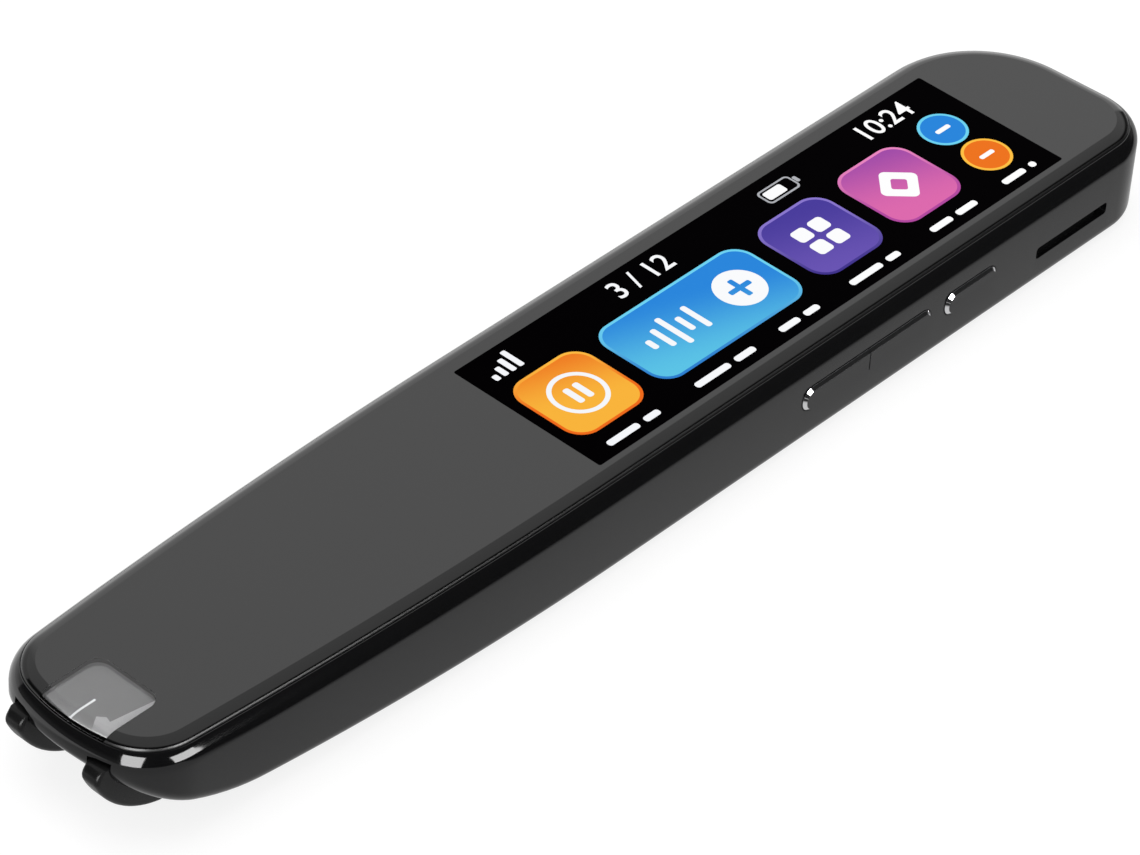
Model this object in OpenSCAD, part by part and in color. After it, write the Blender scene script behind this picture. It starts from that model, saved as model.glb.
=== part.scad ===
// Handheld translator pen: a slim glossy case with a curved cover glass, a lit display,
// side keys, a clear sight window and a spring-loaded two-pad scan tip under the nose.
// Millimetres. +X runs from the nose to the tail, +Z is up out of the glass, and the
// case lies on its flat back at Z = 0. The keys are on the -Y side.

/* [Case] */
// Length of the case from nose to tail
body_length = 152.8; // [148:0.1:170]
// Width of the case over its side walls
body_width = 27.6; // [26.6:0.1:32]
// Height of the case from its flat back to the glass seam
case_height = 11.3; // [11:0.1:14]
// Thickness of the side walls
wall = 1.5; // [1.4:0.1:1.8]
// Thickness of the case floor
floor_t = 1.2; // [1:0.1:1.4]
// How far the glass seam lies inside the side walls
shoulder_in = 1.1; // [1:0.05:1.3]
// Radius of the rounded upper shoulder
shoulder_r = 2.4; // [2:0.1:3]
// Radius of the lower edges
bottom_r = 1.8; // [1.4:0.1:2.6]
// Width of the flat rim beside the glass
rim_w = 0.1; // [0.08:0.01:0.2]

/* [Nose and tail] */
// Length over which sides and belly sweep towards the nose
sweep_length = 65; // [50:1:75]
// Radius of the sweep of the sides and the belly
sweep_r = 750; // [700:10:1200]
// Radius of the blunt front of the nose
nose_front_r = 24; // [20:1:60]
// Radius of the nose corners
nose_corner_r = 6.5; // [5.4:0.1:7]
// Length of the steeper chin below the nose
chin_length = 16.4; // [15.6:0.1:18]
// Radius of the chin
chin_r = 25; // [23:0.5:30]
// Radius of the tail corner beside the keys
tail_near_r = 6.2; // [5:0.1:8]
// Slant of the tail end in degrees
tail_slant = 2.5; // [0:0.5:5]

/* [Cover glass] */
// Thickness of the cover glass
glass_t = 1.1; // [1:0.05:1.4]
// Height of the glass above the seam
glass_rise = 0.8; // [0.7:0.05:0.95]
// Width of the curved border of the glass
glass_curve = 1.4; // [1.2:0.1:2.2]
// Gap between the glass and the case rim
seam_gap = 0.06; // [0.04:0.01:0.1]
// Thickness of the black film under the glass
film_t = 0.1; // [0.08:0.01:0.15]
// Thickness of the adhesive gasket
gasket_t = 0.1; // [0.08:0.01:0.15]
// Width of the adhesive gasket
gasket_w = 1.2; // [1:0.1:1.4]

/* [Display] */
// Length of the lit area
screen_length = 74.2; // [68:0.1:76]
// Distance from the lit area to the side of the case
screen_side = 3.65; // [3.5:0.05:6]
// Distance from the lit area to the tail
screen_tail = 13.65; // [13.4:0.05:20]
// Border of the display module around its lit area
screen_border = 0.7; // [0.5:0.1:0.8]
// Extra module length at the ribbon end
screen_ledge = 2.6; // [2.2:0.1:3]
// Thickness of the display module
display_t = 1.6; // [1.4:0.05:1.8]

/* [Sight window] */
// Distance from the nose to the window
window_start = 2.1; // [2:0.05:2.6]
// Length of the sight window
window_length = 7.7; // [7:0.1:7.9]
// Width of the sight window
window_width = 8.6; // [7.4:0.1:9]
// Corner radius at the back of the window
window_r = 1.6; // [0.8:0.1:2]

/* [Side keys] */
// Height of the keys
key_h = 3; // [2.6:0.1:3.2]
// How far the keys stand out of the side
key_proud = 0.4; // [0.3:0.05:0.6]
// Travel of the keys
key_travel = 0.3; // [0.2:0.05:0.35]
// Gap around the keys
key_gap = 0.12; // [0.08:0.01:0.2]
// Height of the key centre above the flat back
key_z = 6; // [5.6:0.1:6.2]
// Distance from the pair of volume keys to the tail
volume_tail = 39.7; // [39:0.1:42]
// Length of the pair of volume keys
volume_length = 20.8; // [18:0.1:22]
// Distance from the power key to the tail
power_tail = 28.8; // [27:0.1:29.4]
// Length of the power key
power_length = 8.6; // [7:0.1:9.5]

/* [Sound slot] */
// Distance from the tail to the sound slot
slot_end = 9.4; // [9:0.1:11]
// Length of the sound slot
slot_length = 12.2; // [9:0.1:12.6]
// Height of the sound slot
slot_h = 1.5; // [1.1:0.1:1.8]
// Height of the slot centre above the flat back
slot_z = 4.65; // [4.3:0.05:4.8]

/* [Charging port] */
// Width of the port shell
port_w = 8.94; // [8.9:0.02:9]
// Height of the port shell
port_h = 3.26; // [3.2:0.02:3.3]
// Depth of the port
port_depth = 7.3; // [7:0.1:7.6]
// Offset of the port towards the keys
port_shift = 2; // [1.5:0.1:2.5]

/* [Scan tip] */
// Room between the pads' outer guides and the sides of the case
pad_side = 7.95; // [7.9:0.05:8.3]
// Share of the remaining width at which the pads stand apart
pad_spread = 0.9; // [0.88:0.01:0.92]
// Thickness of a pad
pad_t = 2.4; // [2.2:0.1:2.6]
// Radius of a pad's sliding edge
pad_arc_r = 12.05; // [11:0.1:14]
// Length of a pad towards the nose, from its pin
pad_front = 4.4; // [4:0.1:4.5]
// Length of a pad towards the tail, from its pin
pad_rear = 7.5; // [6:0.1:7.6]
// Rounding of the pads' edges
pad_round = 0.5; // [0.3:0.05:0.6]
// How far the pads' edges stand out of their pins' foot
pad_proud = 2; // [1.8:0.05:2.3]
// Gap around the pads
pad_gap = 0.1; // [0.08:0.01:0.15]
// Tilt of the tip's sliding axis from the vertical, in degrees
tip_tilt = 50; // [49:0.5:51]
// Travel of the tip
tip_travel = 0.8; // [0.5:0.05:0.8]
// Radius of the guide pins
pin_r = 0.6; // [0.5:0.05:0.65]
// Running clearance of the guide pins
pin_fit = 0.05; // [0.03:0.01:0.08]
// Wire radius of the tip springs
spring_wire = 0.14; // [0.1:0.01:0.16]
// Number of turns of the tip springs
spring_turns = 3; // [2.5:0.25:3.5]

/* [Inside] */
// Thickness of the mid frame plate
plate_t = 0.8; // [0.7:0.05:0.9]
// Width of the mid frame rim
frame_rim = 1; // [0.9:0.05:1.1]
// Clearance between the mid frame and the case
frame_fit = 0.1; // [0.05:0.01:0.15]
// Thickness of the circuit boards
board_t = 0.8; // [0.6:0.05:1]
// Height of the bosses that carry the main board
boss_h = 2.2; // [2.1:0.1:2.5]
// Distance from the nose to the main board
board_start = 27.5; // [27:0.1:30]
// Distance from the main board to the side of the case
board_side = 4.9; // [4.8:0.1:6]
// Distance from the main board to the battery
board_gap = 2.5; // [2:0.1:4]
// Length of the battery
battery_length = 44; // [34:0.5:52]
// Distance from the battery to the side wall away from the keys
battery_side = 2.65; // [2.5:0.05:5]
// Height of the battery
battery_h = 6; // [5:0.1:6.1]
// Distance from the battery to the tail board
battery_gap = 3.3; // [2:0.1:5]
// Distance from the speaker to the tail
speaker_tail = 8.3; // [8.2:0.1:9]
// Length of the speaker
speaker_length = 14.4; // [13:0.1:14.6]
// Width of the speaker
speaker_width = 10; // [8:0.1:10.6]
// Height of the speaker
speaker_h = 6; // [5:0.1:6.4]
// Radius of the screw shanks
screw_r = 0.7; // [0.6:0.05:0.8]

/* [Hidden] */
$fn = 48;

// Ends, sides and the seam between case and glass
nose_x = -body_length / 2;
tail_x = body_length / 2;
half_w = body_width / 2;
seam_half = half_w - shoulder_in;
seam_z = case_height;
inner_off = shoulder_in - wall;
inner_half = half_w - wall;
sweep_x = nose_x + sweep_length;
chin_x = nose_x + chin_length;
shoulder_tilt = acos(1 - (shoulder_in - rim_w) / shoulder_r);
shoulder_z = seam_z - shoulder_r * sin(shoulder_tilt);

// The lit area and the display module around it
screen_end = tail_x - screen_tail;
screen_x = screen_end - screen_length;
screen_width = body_width - 2 * screen_side;
module_x = screen_x - screen_ledge;
module_end = screen_end + screen_border;
module_half = screen_width / 2 + screen_border;
flex_slot_x = module_x - 1.2;
display_flex_y = [-4, 5];

// Levels of what lies under the glass, from the top down
glass_top = seam_z + glass_rise;
glass_z = glass_top - glass_t;
film_z = glass_z - film_t;
ledge_z = film_z - gasket_t;
display_z = film_z - display_t;
plate_top = display_z;
plate_z = plate_top - plate_t;
board_top = plate_z - boss_h;
board_z = board_top - board_t;

// Points along one long edge of the outline
front_steps = 3;
corner_steps = 7;
sweep_steps = 7;
tail_steps = 10;

// Tangent circles of the nose: the corner touches the long sweep and the blunt front
sweep_centre = [sweep_x, seam_half - sweep_r];
front_centre = [nose_x + shoulder_in + nose_front_r, 0];
corner_centre = circles_meet(sweep_centre, sweep_r - nose_corner_r,
    front_centre, nose_front_r - nose_corner_r);
corner_end = angle_to(sweep_centre, corner_centre);
corner_start = angle_to(front_centre, corner_centre);

// Tangent circles of the tail, joined by the slightly slanted end
tail_far_r = seam_half - 0.3;
tail_near = [tail_x - shoulder_in - tail_near_r, tail_near_r - seam_half];
tail_drop = seam_half - tail_far_r - tail_near[1];
tail_far = [tail_near[0] - (tail_far_r - tail_near_r + tail_drop * sin(tail_slant)) / cos(tail_slant),
    seam_half - tail_far_r];

function angle_to(from, to) = atan2(to[1] - from[1], to[0] - from[0]);

function circles_meet(a, ra, b, rb) =
    let (d = norm(b - a), along = (ra * ra - rb * rb + d * d) / (2 * d),
        across = sqrt(ra * ra - along * along), u = (b - a) / d)
    a + along * u + across * [-u[1], u[0]];

function arc(centre, r, from, to, first, steps) =
    [for (i = [first : steps]) let (a = from + (to - from) * i / steps)
        centre + r * [cos(a), sin(a)]];

function mirrored(points) = [for (p = points) [p[0], -p[1]]];

function reversed(points) = [for (i = [len(points) - 1 : -1 : 0]) points[i]];

// The nose half of the edge, from the middle of the front to the start of the sweep
function nose_edge(off) = concat(
    arc(front_centre, nose_front_r + off, 180, corner_start, 1, front_steps),
    arc(corner_centre, nose_corner_r + off, corner_start, corner_end, 1, corner_steps),
    arc(sweep_centre, sweep_r + off, corner_end, 90, 1, sweep_steps));

function far_edge(off) = concat(nose_edge(off),
    arc(tail_far, tail_far_r + off, 90, tail_slant, 0, tail_steps));

function near_edge(off) = concat(mirrored(nose_edge(off)),
    arc(tail_near, tail_near_r + off, -90, tail_slant, 0, tail_steps));

// Outline of the pen at a distance outside the glass seam
function outline(off) = concat(far_edge(off), reversed(near_edge(off)));

// Height of the belly: a long sweep, and a steeper chin near the nose
function rise(x, start, r) = x < start ? pow(start - x, 2) / (2 * r) : 0;

function belly(x) = rise(x, sweep_x, sweep_r) + rise(x, chin_x, chin_r);

function level(z) = function(x) z;

function above_belly(lift, share) =
    function(x) belly(x) + lift + share * min(bottom_r, 0.9 * (shoulder_z - belly(x)));

function ring(off, height) = [for (p = outline(off)) [p[0], p[1], height(p[0])]];

// Rings of the outer skin, from the flat back up to the rim
lower_steps = 4;
shoulder_steps = 5;
outer_rings = concat(
    [for (i = [0 : lower_steps]) let (a = 90 * i / lower_steps)
        ring(shoulder_in - bottom_r * (1 - sin(a)), above_belly(0, 1 - cos(a)))],
    [for (i = [0 : shoulder_steps]) let (a = shoulder_tilt * i / shoulder_steps)
        ring(shoulder_in - shoulder_r * (1 - cos(a)), level(shoulder_z + shoulder_r * sin(a)))]);

// Rings of the cavity, from a level down to its floor
corner_in = 1.2;
function cavity_rings(off, lift) = [
    ring(off, function(x) belly(x) + lift + min(corner_in, 0.5 * (ledge_z - belly(x) - lift))),
    ring(off - corner_in, function(x) belly(x) + lift)];

module loft(rings) {
    n = len(rings[0]);
    last = (len(rings) - 1) * n;
    points = [for (r = rings) each r];
    sides = [for (j = [0 : len(rings) - 2], i = [0 : n - 1])
        let (a = j * n + i, b = j * n + (i + 1) % n)
        each [[a, b, b + n], [a, b + n, a + n]]];
    bottom = [for (i = [0 : n / 2 - 2]) let (far = i, near = n - 1 - i)
        each [[far, near, near - 1], [far, near - 1, far + 1]]];
    top = [for (i = [0 : n / 2 - 2]) let (far = last + i, near = last + n - 1 - i)
        each [[far, far + 1, near - 1], [far, near - 1, near]]];
    polyhedron(points, concat(sides, bottom, top));
}

module shell_blank() {
    loft(concat(outer_rings, [
        ring(0, level(seam_z)),
        ring(0, level(ledge_z)),
        ring(inner_off, level(ledge_z))], cavity_rings(inner_off, floor_t)));
}

module cavity(clear) {
    loft(reversed(concat([ring(inner_off - clear, level(ledge_z))],
        cavity_rings(inner_off - clear, floor_t + clear))));
}

// The same on both sides of the middle
module both_sides() {
    children();
    mirror([0, 1, 0]) children();
}

// A flat shape with round corners
module round_rect(size, r) {
    for (x = [r, size[0] - r], y = [r, size[1] - r]) translate([x, y]) circle(r);
    translate([r, 0]) square([size[0] - 2 * r, size[1]]);
    translate([0, r]) square([size[0], size[1] - 2 * r]);
}

module block(from, to) {
    translate(from) cube(to - from);
}

// A plan shape between two heights
module slab(from_z, to_z) {
    translate([0, 0, from_z]) linear_extrude(to_z - from_z) children();
}

// A shape drawn in X and Z, reaching from one Y to another
module across(from_y, to_y) {
    translate([0, to_y, 0]) rotate([90, 0, 0]) linear_extrude(to_y - from_y) children();
}

// ---- Side keys ----
key_r = key_h / 2;
key_lip = 0.5;
key_flange_t = 0.5;
key_flange_gap = 0.1;
key_nub_t = 0.3;
key_bevel = 0.15;
key_split = 0.16;
key_end = 1;
key_face = -(half_w + key_proud);
flange_y = -(inner_half - key_flange_gap);
nub_end = flange_y + key_flange_t + key_nub_t;
dome_t = 0.4;
dome_y = nub_end + key_travel + 0.05;
flex_t = 0.2;
key_flex_y = dome_y + dome_t;
key_rib_y = key_flex_y + flex_t;
key_rib_t = 0.8;
volume_x = tail_x - volume_tail - volume_length;
volume_mid = volume_x + volume_length / 2;
power_x = tail_x - power_tail - power_length;

module pill(from_x, to_x, grow) {
    r = key_r + grow;
    for (x = [from_x + key_r, to_x - key_r]) translate([x, key_z]) circle(r);
    translate([from_x + key_r, key_z - r]) square([to_x - from_x - 2 * key_r, 2 * r]);
}

module key_opening(from_x, to_x) {
    across(-half_w - 1, -inner_half + 0.2) pill(from_x, to_x, key_gap);
}

// A key between two limits along X, cut out of the pill that it shares
module key(from_x, to_x, cut_from, cut_to) {
    intersection() {
        union() {
            across(key_face, key_face + key_bevel) pill(from_x, to_x, -key_bevel);
            across(key_face + key_bevel, flange_y + key_flange_t) pill(from_x, to_x, 0);
            across(flange_y, flange_y + key_flange_t)
                translate([from_x - key_lip, key_z - key_r - key_lip])
                square([to_x - from_x + 2 * key_lip, key_h + 2 * key_lip]);
            across(flange_y, nub_end)
                translate([(cut_from + cut_to) / 2, key_z]) circle(key_r / 2);
        }
        across(key_face - 1, nub_end + 1)
            translate([cut_from, key_z - key_h]) square([cut_to - cut_from, 2 * key_h]);
    }
}

module volume_up_key() {
    color([0.16, 0.16, 0.17])
        key(volume_x, volume_x + volume_length, volume_mid + key_split / 2,
            volume_x + volume_length + key_end);
}

module volume_down_key() {
    color([0.16, 0.16, 0.17])
        key(volume_x, volume_x + volume_length, volume_x - key_end,
            volume_mid - key_split / 2);
}

module power_button() {
    color([0.16, 0.16, 0.17])
        key(power_x, power_x + power_length, power_x - key_end,
            power_x + power_length + key_end);
}

dome_xs = [for (k = [[volume_x - key_end, volume_mid - key_split / 2],
    [volume_mid + key_split / 2, volume_x + volume_length + key_end],
    [power_x, power_x + power_length]]) (k[0] + k[1]) / 2];

module key_domes() {
    color("silver") for (x = dome_xs)
        translate([x, key_flex_y, key_z]) rotate([90, 0, 0]) cylinder(h = dome_t, r1 = 1.5, r2 = 0.9);
}

key_flex_x0 = volume_x;
key_flex_x1 = power_x + power_length;
key_flex_h = 4;

module key_flex() {
    color([0.75, 0.45, 0.12])
        across(key_flex_y, key_rib_y)
        translate([key_flex_x0, key_z - key_flex_h / 2])
        square([key_flex_x1 - key_flex_x0, key_flex_h]);
}

// ---- Scan tip: two pads on a fork, which slides along a tilted axis ----
pad_x = nose_x + 2.8;
pad_spacing = pad_spread * (body_width - 2 * pad_side);
pad_z = 6;
pad_in = 2;
pad_rear_in = 3.7;
pad_step = 1.6;
pad_end_r = 1.2;
pad_end_steps = 3;
pad_arc_steps = 8;
pad_round_steps = 3;
pad_clip_z = 9.4;
slot_out = 4;
slot_in = 7;
slot_clip_z = pad_clip_z + tip_travel * cos(tip_tilt) + pad_gap;
flange_t = 0.8;
flange_up = 1.3;
flange_down = 1.2;
flange_out = 2.4;
flange_in = 1.35;
fork_y = flange_out - 1;
fork_z = pad_z + 0.8;
fork_h = 1.1;
bar_x = nose_x + 13.9;
bar_t = 1.2;
bar_h = 1.3;
seat_in = 4.6;
seat_t = 1;
seat_half = 1.35;
pin_start = 1.4;
pin_end = 5.4;
bore_start = 0.4;
spring_r = 1.15;

// Local frame of a pad: +Z points into the case along the sliding axis
module at_pads() {
    both_sides() translate([pad_x, pad_spacing / 2, pad_z]) rotate([0, tip_tilt, 0]) children();
}

// The slot that a pad slides in, and the same with a gap around it
module pad_shape(grow, from_u, to_u) {
    half = pad_t / 2 + grow;
    translate([-pad_front - grow, -half, from_u])
        cube([pad_front + pad_rear + 2 * grow, 2 * half, to_u - from_u]);
}

// Side view of a pad, held in by a distance at its outer edge: a long arc with rounded ends
function pad_section(in) =
    let (r = pad_arc_r - in, hub = pad_arc_r - pad_proud,
        front = pad_front - in, rear = pad_rear - in, reach = r - pad_end_r,
        front_turn = asin((front - pad_end_r) / reach), rear_turn = asin((rear - pad_end_r) / reach))
    concat([[-front, pad_in]],
        [for (i = [0 : pad_end_steps]) let (a = 90 - (90 - front_turn) * i / pad_end_steps)
            [-reach * sin(front_turn) - pad_end_r * sin(a),
                hub - reach * cos(front_turn) - pad_end_r * cos(a)]],
        [for (i = [1 : pad_arc_steps - 1]) let (a = rear_turn * i / pad_arc_steps
            - front_turn * (1 - i / pad_arc_steps)) [r * sin(a), hub - r * cos(a)]],
        [for (i = [0 : pad_end_steps]) let (a = rear_turn + (90 - rear_turn) * i / pad_end_steps)
            [reach * sin(rear_turn) + pad_end_r * sin(a),
                hub - reach * cos(rear_turn) - pad_end_r * cos(a)]],
        [[rear, pad_in + pad_rear_in], [pad_step, pad_in]]);

// Layers that step round the long edges
module pad() {
    for (i = [0 : pad_round_steps]) let (a = 90 * i / pad_round_steps,
        half = pad_t / 2 - pad_round * (1 - sin(a)), in = pad_round * (1 - cos(a)))
        rotate([90, 0, 0]) linear_extrude(2 * half, center = true) polygon(pad_section(in));
}

module scan_tip() {
    color([0.14, 0.14, 0.15]) {
        difference() {
            union() {
                at_pads() {
                    intersection() {
                        pad();
                        rotate([0, -tip_tilt, 0])
                            translate([-10, -10, -20]) cube([20, 20, 20 + pad_clip_z - pad_z]);
                    }
                    translate([-flange_up, -flange_in, pad_in])
                        cube([flange_up + flange_down, flange_in + flange_out, flange_t]);
                }
                both_sides()
                    block([pad_x + 1.6, pad_spacing / 2 + fork_y, fork_z],
                        [bar_x + bar_t, pad_spacing / 2 + flange_out, fork_z + fork_h]);
                block([bar_x, -pad_spacing / 2 - flange_out, fork_z + fork_h - bar_h],
                    [bar_x + bar_t, pad_spacing / 2 + flange_out, fork_z + fork_h]);
            }
            at_pads() translate([0, 0, bore_start]) cylinder(h = 9, r = pin_r + pin_fit);
        }
    }
}

module tip_guide_pins() {
    color("silver") at_pads() translate([0, 0, pin_start]) cylinder(h = pin_end - pin_start, r = pin_r);
}

// A coil of round wire between the flange and its seat
module coil(length, turns) {
    sides = 8;
    per_turn = 14;
    steps = round(turns * per_turn);
    points = [for (j = [0 : steps], i = [0 : sides - 1])
        let (a = 360 * turns * j / steps, b = 360 * i / sides, r = spring_r + spring_wire * cos(b))
        [r * cos(a), r * sin(a), spring_wire * (1 + sin(b)) + (length - 2 * spring_wire) * j / steps]];
    skin = [for (j = [0 : steps - 1], i = [0 : sides - 1])
        let (a = j * sides + i, b = j * sides + (i + 1) % sides)
        each [[a, b, b + sides], [a, b + sides, a + sides]]];
    polyhedron(points, concat(skin, [[for (i = [sides - 1 : -1 : 0]) i]],
        [[for (i = [0 : sides - 1]) steps * sides + i]]));
}

module tip_springs() {
    color("silver") at_pads() translate([0, 0, pad_in + flange_t])
        coil(seat_in - pad_in - flange_t, spring_turns);
}

switch_x = bar_x + bar_t + tip_travel * sin(tip_tilt) + 0.15;
switch_y = 2.6;
switch_size = [2.4, 4, 1.7];

module tip_switch() {
    color([0.1, 0.1, 0.1]) {
        translate([switch_x + 0.4, switch_y, plate_z - switch_size[2]])
            cube([switch_size[0] - 0.4, switch_size[1], switch_size[2]]);
        translate([switch_x, switch_y + switch_size[1] / 2, plate_z - switch_size[2] / 2])
            rotate([0, 90, 0]) cylinder(h = 0.6, r = 0.5);
    }
}

// ---- Sight window, tunnel and optics in the nose ----
window_x = nose_x + window_start;
window_end = window_x + window_length;
tunnel_wall = 0.7;
tunnel_room = 1.91;
tunnel_half = pad_spacing / 2 - flange_in - tunnel_room;
tunnel_top_half = window_width / 2 + 0.5;
tunnel_brim_t = 0.5;
scan_half = tunnel_half + 0.35;
scan_x0 = nose_x + 3.1;
scan_x1 = nose_x + 10.3;
scan_gap = 0.05;
camera_z = 5.2;
camera_x = nose_x + 19.7;
camera_size = [4, 6, 5];
lens_r = 1.9;
lens_length = 2.8;
led_board_t = 0.8;
led_board_half = 6.2;
led_y = 4.6;
led_size = [0.7, 1.6, 2];
view_r = 2.2;

// The sight window is square to the nose and rounded at the back
module window_shape() {
    half = window_width / 2;
    both_sides() translate([window_end - window_r, half - window_r]) circle(window_r);
    translate([window_x, -half]) square([window_length - window_r, window_width]);
    translate([window_x, window_r - half]) square([window_length, window_width - 2 * window_r]);
}

module scan_window() {
    color([0.75, 0.78, 0.8, 0.5]) intersection() {
        shell_blank();
        block([scan_x0, -scan_half, 0], [scan_x1, scan_half, seam_z]);
    }
}

module sight_tunnel() {
    brim_z = ledge_z - tunnel_brim_t;
    color([0.82, 0.82, 0.8]) intersection() {
        difference() {
            union() {
                block([window_x - 0.3, -tunnel_half - tunnel_wall, floor_t],
                    [window_end + tunnel_wall, tunnel_half + tunnel_wall, ledge_z]);
                block([window_x - 0.4, -tunnel_top_half, brim_z],
                    [window_end + tunnel_wall, tunnel_top_half, ledge_z]);
            }
            block([window_x + 0.4, -tunnel_half, 0], [window_end - 0.2, tunnel_half, seam_z]);
            translate([window_end - 1, 0, camera_z]) rotate([0, 90, 0]) cylinder(h = 3, r = tunnel_half);
        }
        cavity(0.05);
    }
}

module scan_camera() {
    color([0.12, 0.12, 0.13])
        translate([camera_x, -camera_size[1] / 2, camera_z - camera_size[2] / 2]) cube(camera_size);
}

module camera_lens() {
    color([0.2, 0.22, 0.3])
        translate([camera_x, 0, camera_z]) rotate([0, -90, 0]) difference() {
            cylinder(h = lens_length, r = lens_r);
            translate([0, 0, lens_length - 0.5]) cylinder(h = 1, r1 = lens_r - 0.9, r2 = lens_r);
        }
}

module led_board() {
    color([0.1, 0.35, 0.2]) difference() {
        block([camera_x - led_board_t, -led_board_half, camera_z - 2.4],
            [camera_x, led_board_half, plate_z]);
        translate([camera_x - 2, 0, camera_z]) rotate([0, 90, 0]) cylinder(h = 4, r = view_r);
    }
}

module scan_leds() {
    color([0.95, 0.93, 0.75]) for (y = [-led_y, led_y])
        translate([camera_x - led_board_t - led_size[0], y - led_size[1] / 2, camera_z - 1.2])
            cube(led_size);
}

// ---- Boards, battery and what hangs on them ----
speaker_x = tail_x - speaker_tail - speaker_length;
tail_board_x = speaker_x - 0.8;
battery_x = tail_board_x - battery_gap - battery_length;
battery_y = key_rib_y + key_rib_t + 0.3;
battery_width = inner_half - battery_side - battery_y;
board_x = nose_x + board_start;
board_end = battery_x - board_gap;
board_width = body_width - 2 * board_side;
board_boss_xs = [board_x + 3, board_end - 4];
board_boss_y = board_width / 2 - 1.9;
boss_r = 1.5;
post_xs = [board_x - 3.5, module_x - 6.45];
tail_posts = [[tail_x - 10.4, inner_half - 3.5], [tail_x - 6.2, 2.9 - inner_half]];
head_r = 1.2;
head_t = 0.6;
screw_length = 2.4;
screw_fit = 0.05;
tape_t = 0.2;
mesh_t = 0.2;
speaker_y = -inner_half + mesh_t;
tail_board_top = floor_t + 2.8;
tail_board_z = tail_board_top - board_t;
port_x = tail_x - 0.6 - port_depth;
port_z = tail_board_top + port_h / 2;
port_y = -port_shift;
tail_board_y = speaker_y + speaker_width + 0.4;
tail_board_half = inner_half - 3.1;
tail_board_end = port_x + 0.5;
tail_boss_spots = [[tail_board_x + 2, tail_board_half - 2], [tail_board_x + 7, tail_board_half - 2],
    [tail_board_end - 2.4, tail_board_y + 1.9]];

module main_board() {
    color([0.08, 0.3, 0.17]) difference() {
        block([board_x, -board_width / 2, board_z], [board_end, board_width / 2, board_top]);
        for (p = board_screw_spots)
            translate([p[0], p[1], board_z - 1]) cylinder(h = board_t + 2, r = screw_r + screw_fit);
        for (p = frame_screw_spots)
            translate([p[0], p[1], board_z - 1]) cylinder(h = board_t + 2, r = boss_r + 0.3);
    }
}

// The stretches of the main board in front of the display ribbon and behind it
front_zone = [board_x, flex_slot_x];
rear_zone = [flex_slot_x + 2.4, board_end];

// A block on the main board, placed by shares of a zone and of the board's width
module board_block(zone, along, over, from_z, height) {
    span = zone[1] - zone[0];
    block([zone[0] + along[0] * span, over[0] * board_width, from_z],
        [zone[0] + along[1] * span, over[1] * board_width, from_z + height]);
}

module processor_shield() {
    color("silver") board_block(front_zone, [0.26, 0.72], [-0.38, 0.38], board_top, 1.5);
}

socket_h = 0.9;
camera_socket_half = 3.5;

module board_parts() {
    color([0.13, 0.13, 0.14]) {
        board_block(front_zone, [0.24, 0.48], [-0.34, 0.17], board_z - 1, 1);
        board_block(front_zone, [0.6, 0.93], [-0.22, 0.34], board_z - 0.9, 0.9);
        board_block(front_zone, [0.78, 0.93], [-0.34, 0], board_top, 1.2);
        board_block(rear_zone, [0.2, 0.64], [-0.28, 0.17], board_top, 1.1);
        block([flex_slot_x + flex_t, display_flex_y[0], board_top],
            [rear_zone[0], display_flex_y[1], board_top + socket_h]);
        block([board_x + 0.6, -camera_socket_half, board_top],
            [board_x + 1.4, camera_socket_half, board_top + socket_h]);
    }
}

module camera_flex() {
    color([0.75, 0.45, 0.12])
        block([camera_x + camera_size[0], -2.5, board_top + 0.2],
            [board_x + 0.6, 2.5, board_top + 0.4]);
}

module battery() {
    color([0.62, 0.64, 0.67]) difference() {
        block([battery_x, battery_y, floor_t + tape_t],
            [battery_x + battery_length, battery_y + battery_width, floor_t + tape_t + battery_h]);
        for (y = [battery_y - 1, battery_y + battery_width - 0.4])
            block([battery_x - 1, y, floor_t + tape_t + battery_h - 0.5],
                [battery_x + battery_length + 1, y + 1.4, floor_t + tape_t + battery_h + 1]);
    }
}

tape_end = 3;
tape_side = 2;

module battery_tape() {
    color([0.9, 0.9, 0.85])
        block([battery_x + tape_end, battery_y + tape_side, floor_t], [battery_x + battery_length - tape_end,
            battery_y + battery_width - tape_side, floor_t + tape_t]);
}

lead_y = battery_y + 4;
lead_width = 3;
lead_t = 0.4;

module battery_lead() {
    color([0.7, 0.1, 0.1])
        block([board_end - 1.6, lead_y, board_top], [battery_x, lead_y + lead_width, board_top + lead_t]);
}

link_y = 3.4;
link_width = 4;

module link_flex() {
    top = floor_t + tape_t + battery_h;
    x0 = board_end - 2;
    x1 = tail_board_x + 4.5;
    color([0.75, 0.45, 0.12]) across(link_y, link_y + link_width) {
        translate([x0, top]) square([x1 - x0, flex_t]);
        translate([x0, board_top]) square([flex_t, top + flex_t - board_top]);
        translate([x1 - flex_t, tail_board_top]) square([flex_t, top + flex_t - tail_board_top]);
    }
}

module tail_board() {
    color([0.08, 0.3, 0.17]) difference() {
        union() {
            block([tail_board_x, tail_board_y, tail_board_z],
                [tail_board_end, tail_board_half, tail_board_top]);
            block([port_x - 0.2, port_y - port_w / 2 - 0.3, tail_board_z],
                [tail_x - 4.8, mic_y + 1.2, tail_board_top]);
        }
        for (p = tail_boss_spots)
            translate([p[0], p[1], 0]) cylinder(h = seam_z, r = screw_r + screw_fit);
        for (p = tail_posts) translate([p[0], p[1], 0]) cylinder(h = seam_z, r = boss_r + 0.3);
    }
}

module port_outline(grow) {
    r = port_h / 2 + grow;
    for (y = [-1, 1]) translate([y * (port_w - port_h) / 2, 0]) circle(r);
    translate([-(port_w - port_h) / 2, -r]) square([port_w - port_h, 2 * r]);
}

// A shape drawn in Y and Z around the port axis, reaching along X
module along_port(from_x, to_x) {
    translate([from_x, port_y, port_z]) rotate([90, 0, 90]) linear_extrude(to_x - from_x) children();
}

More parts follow.
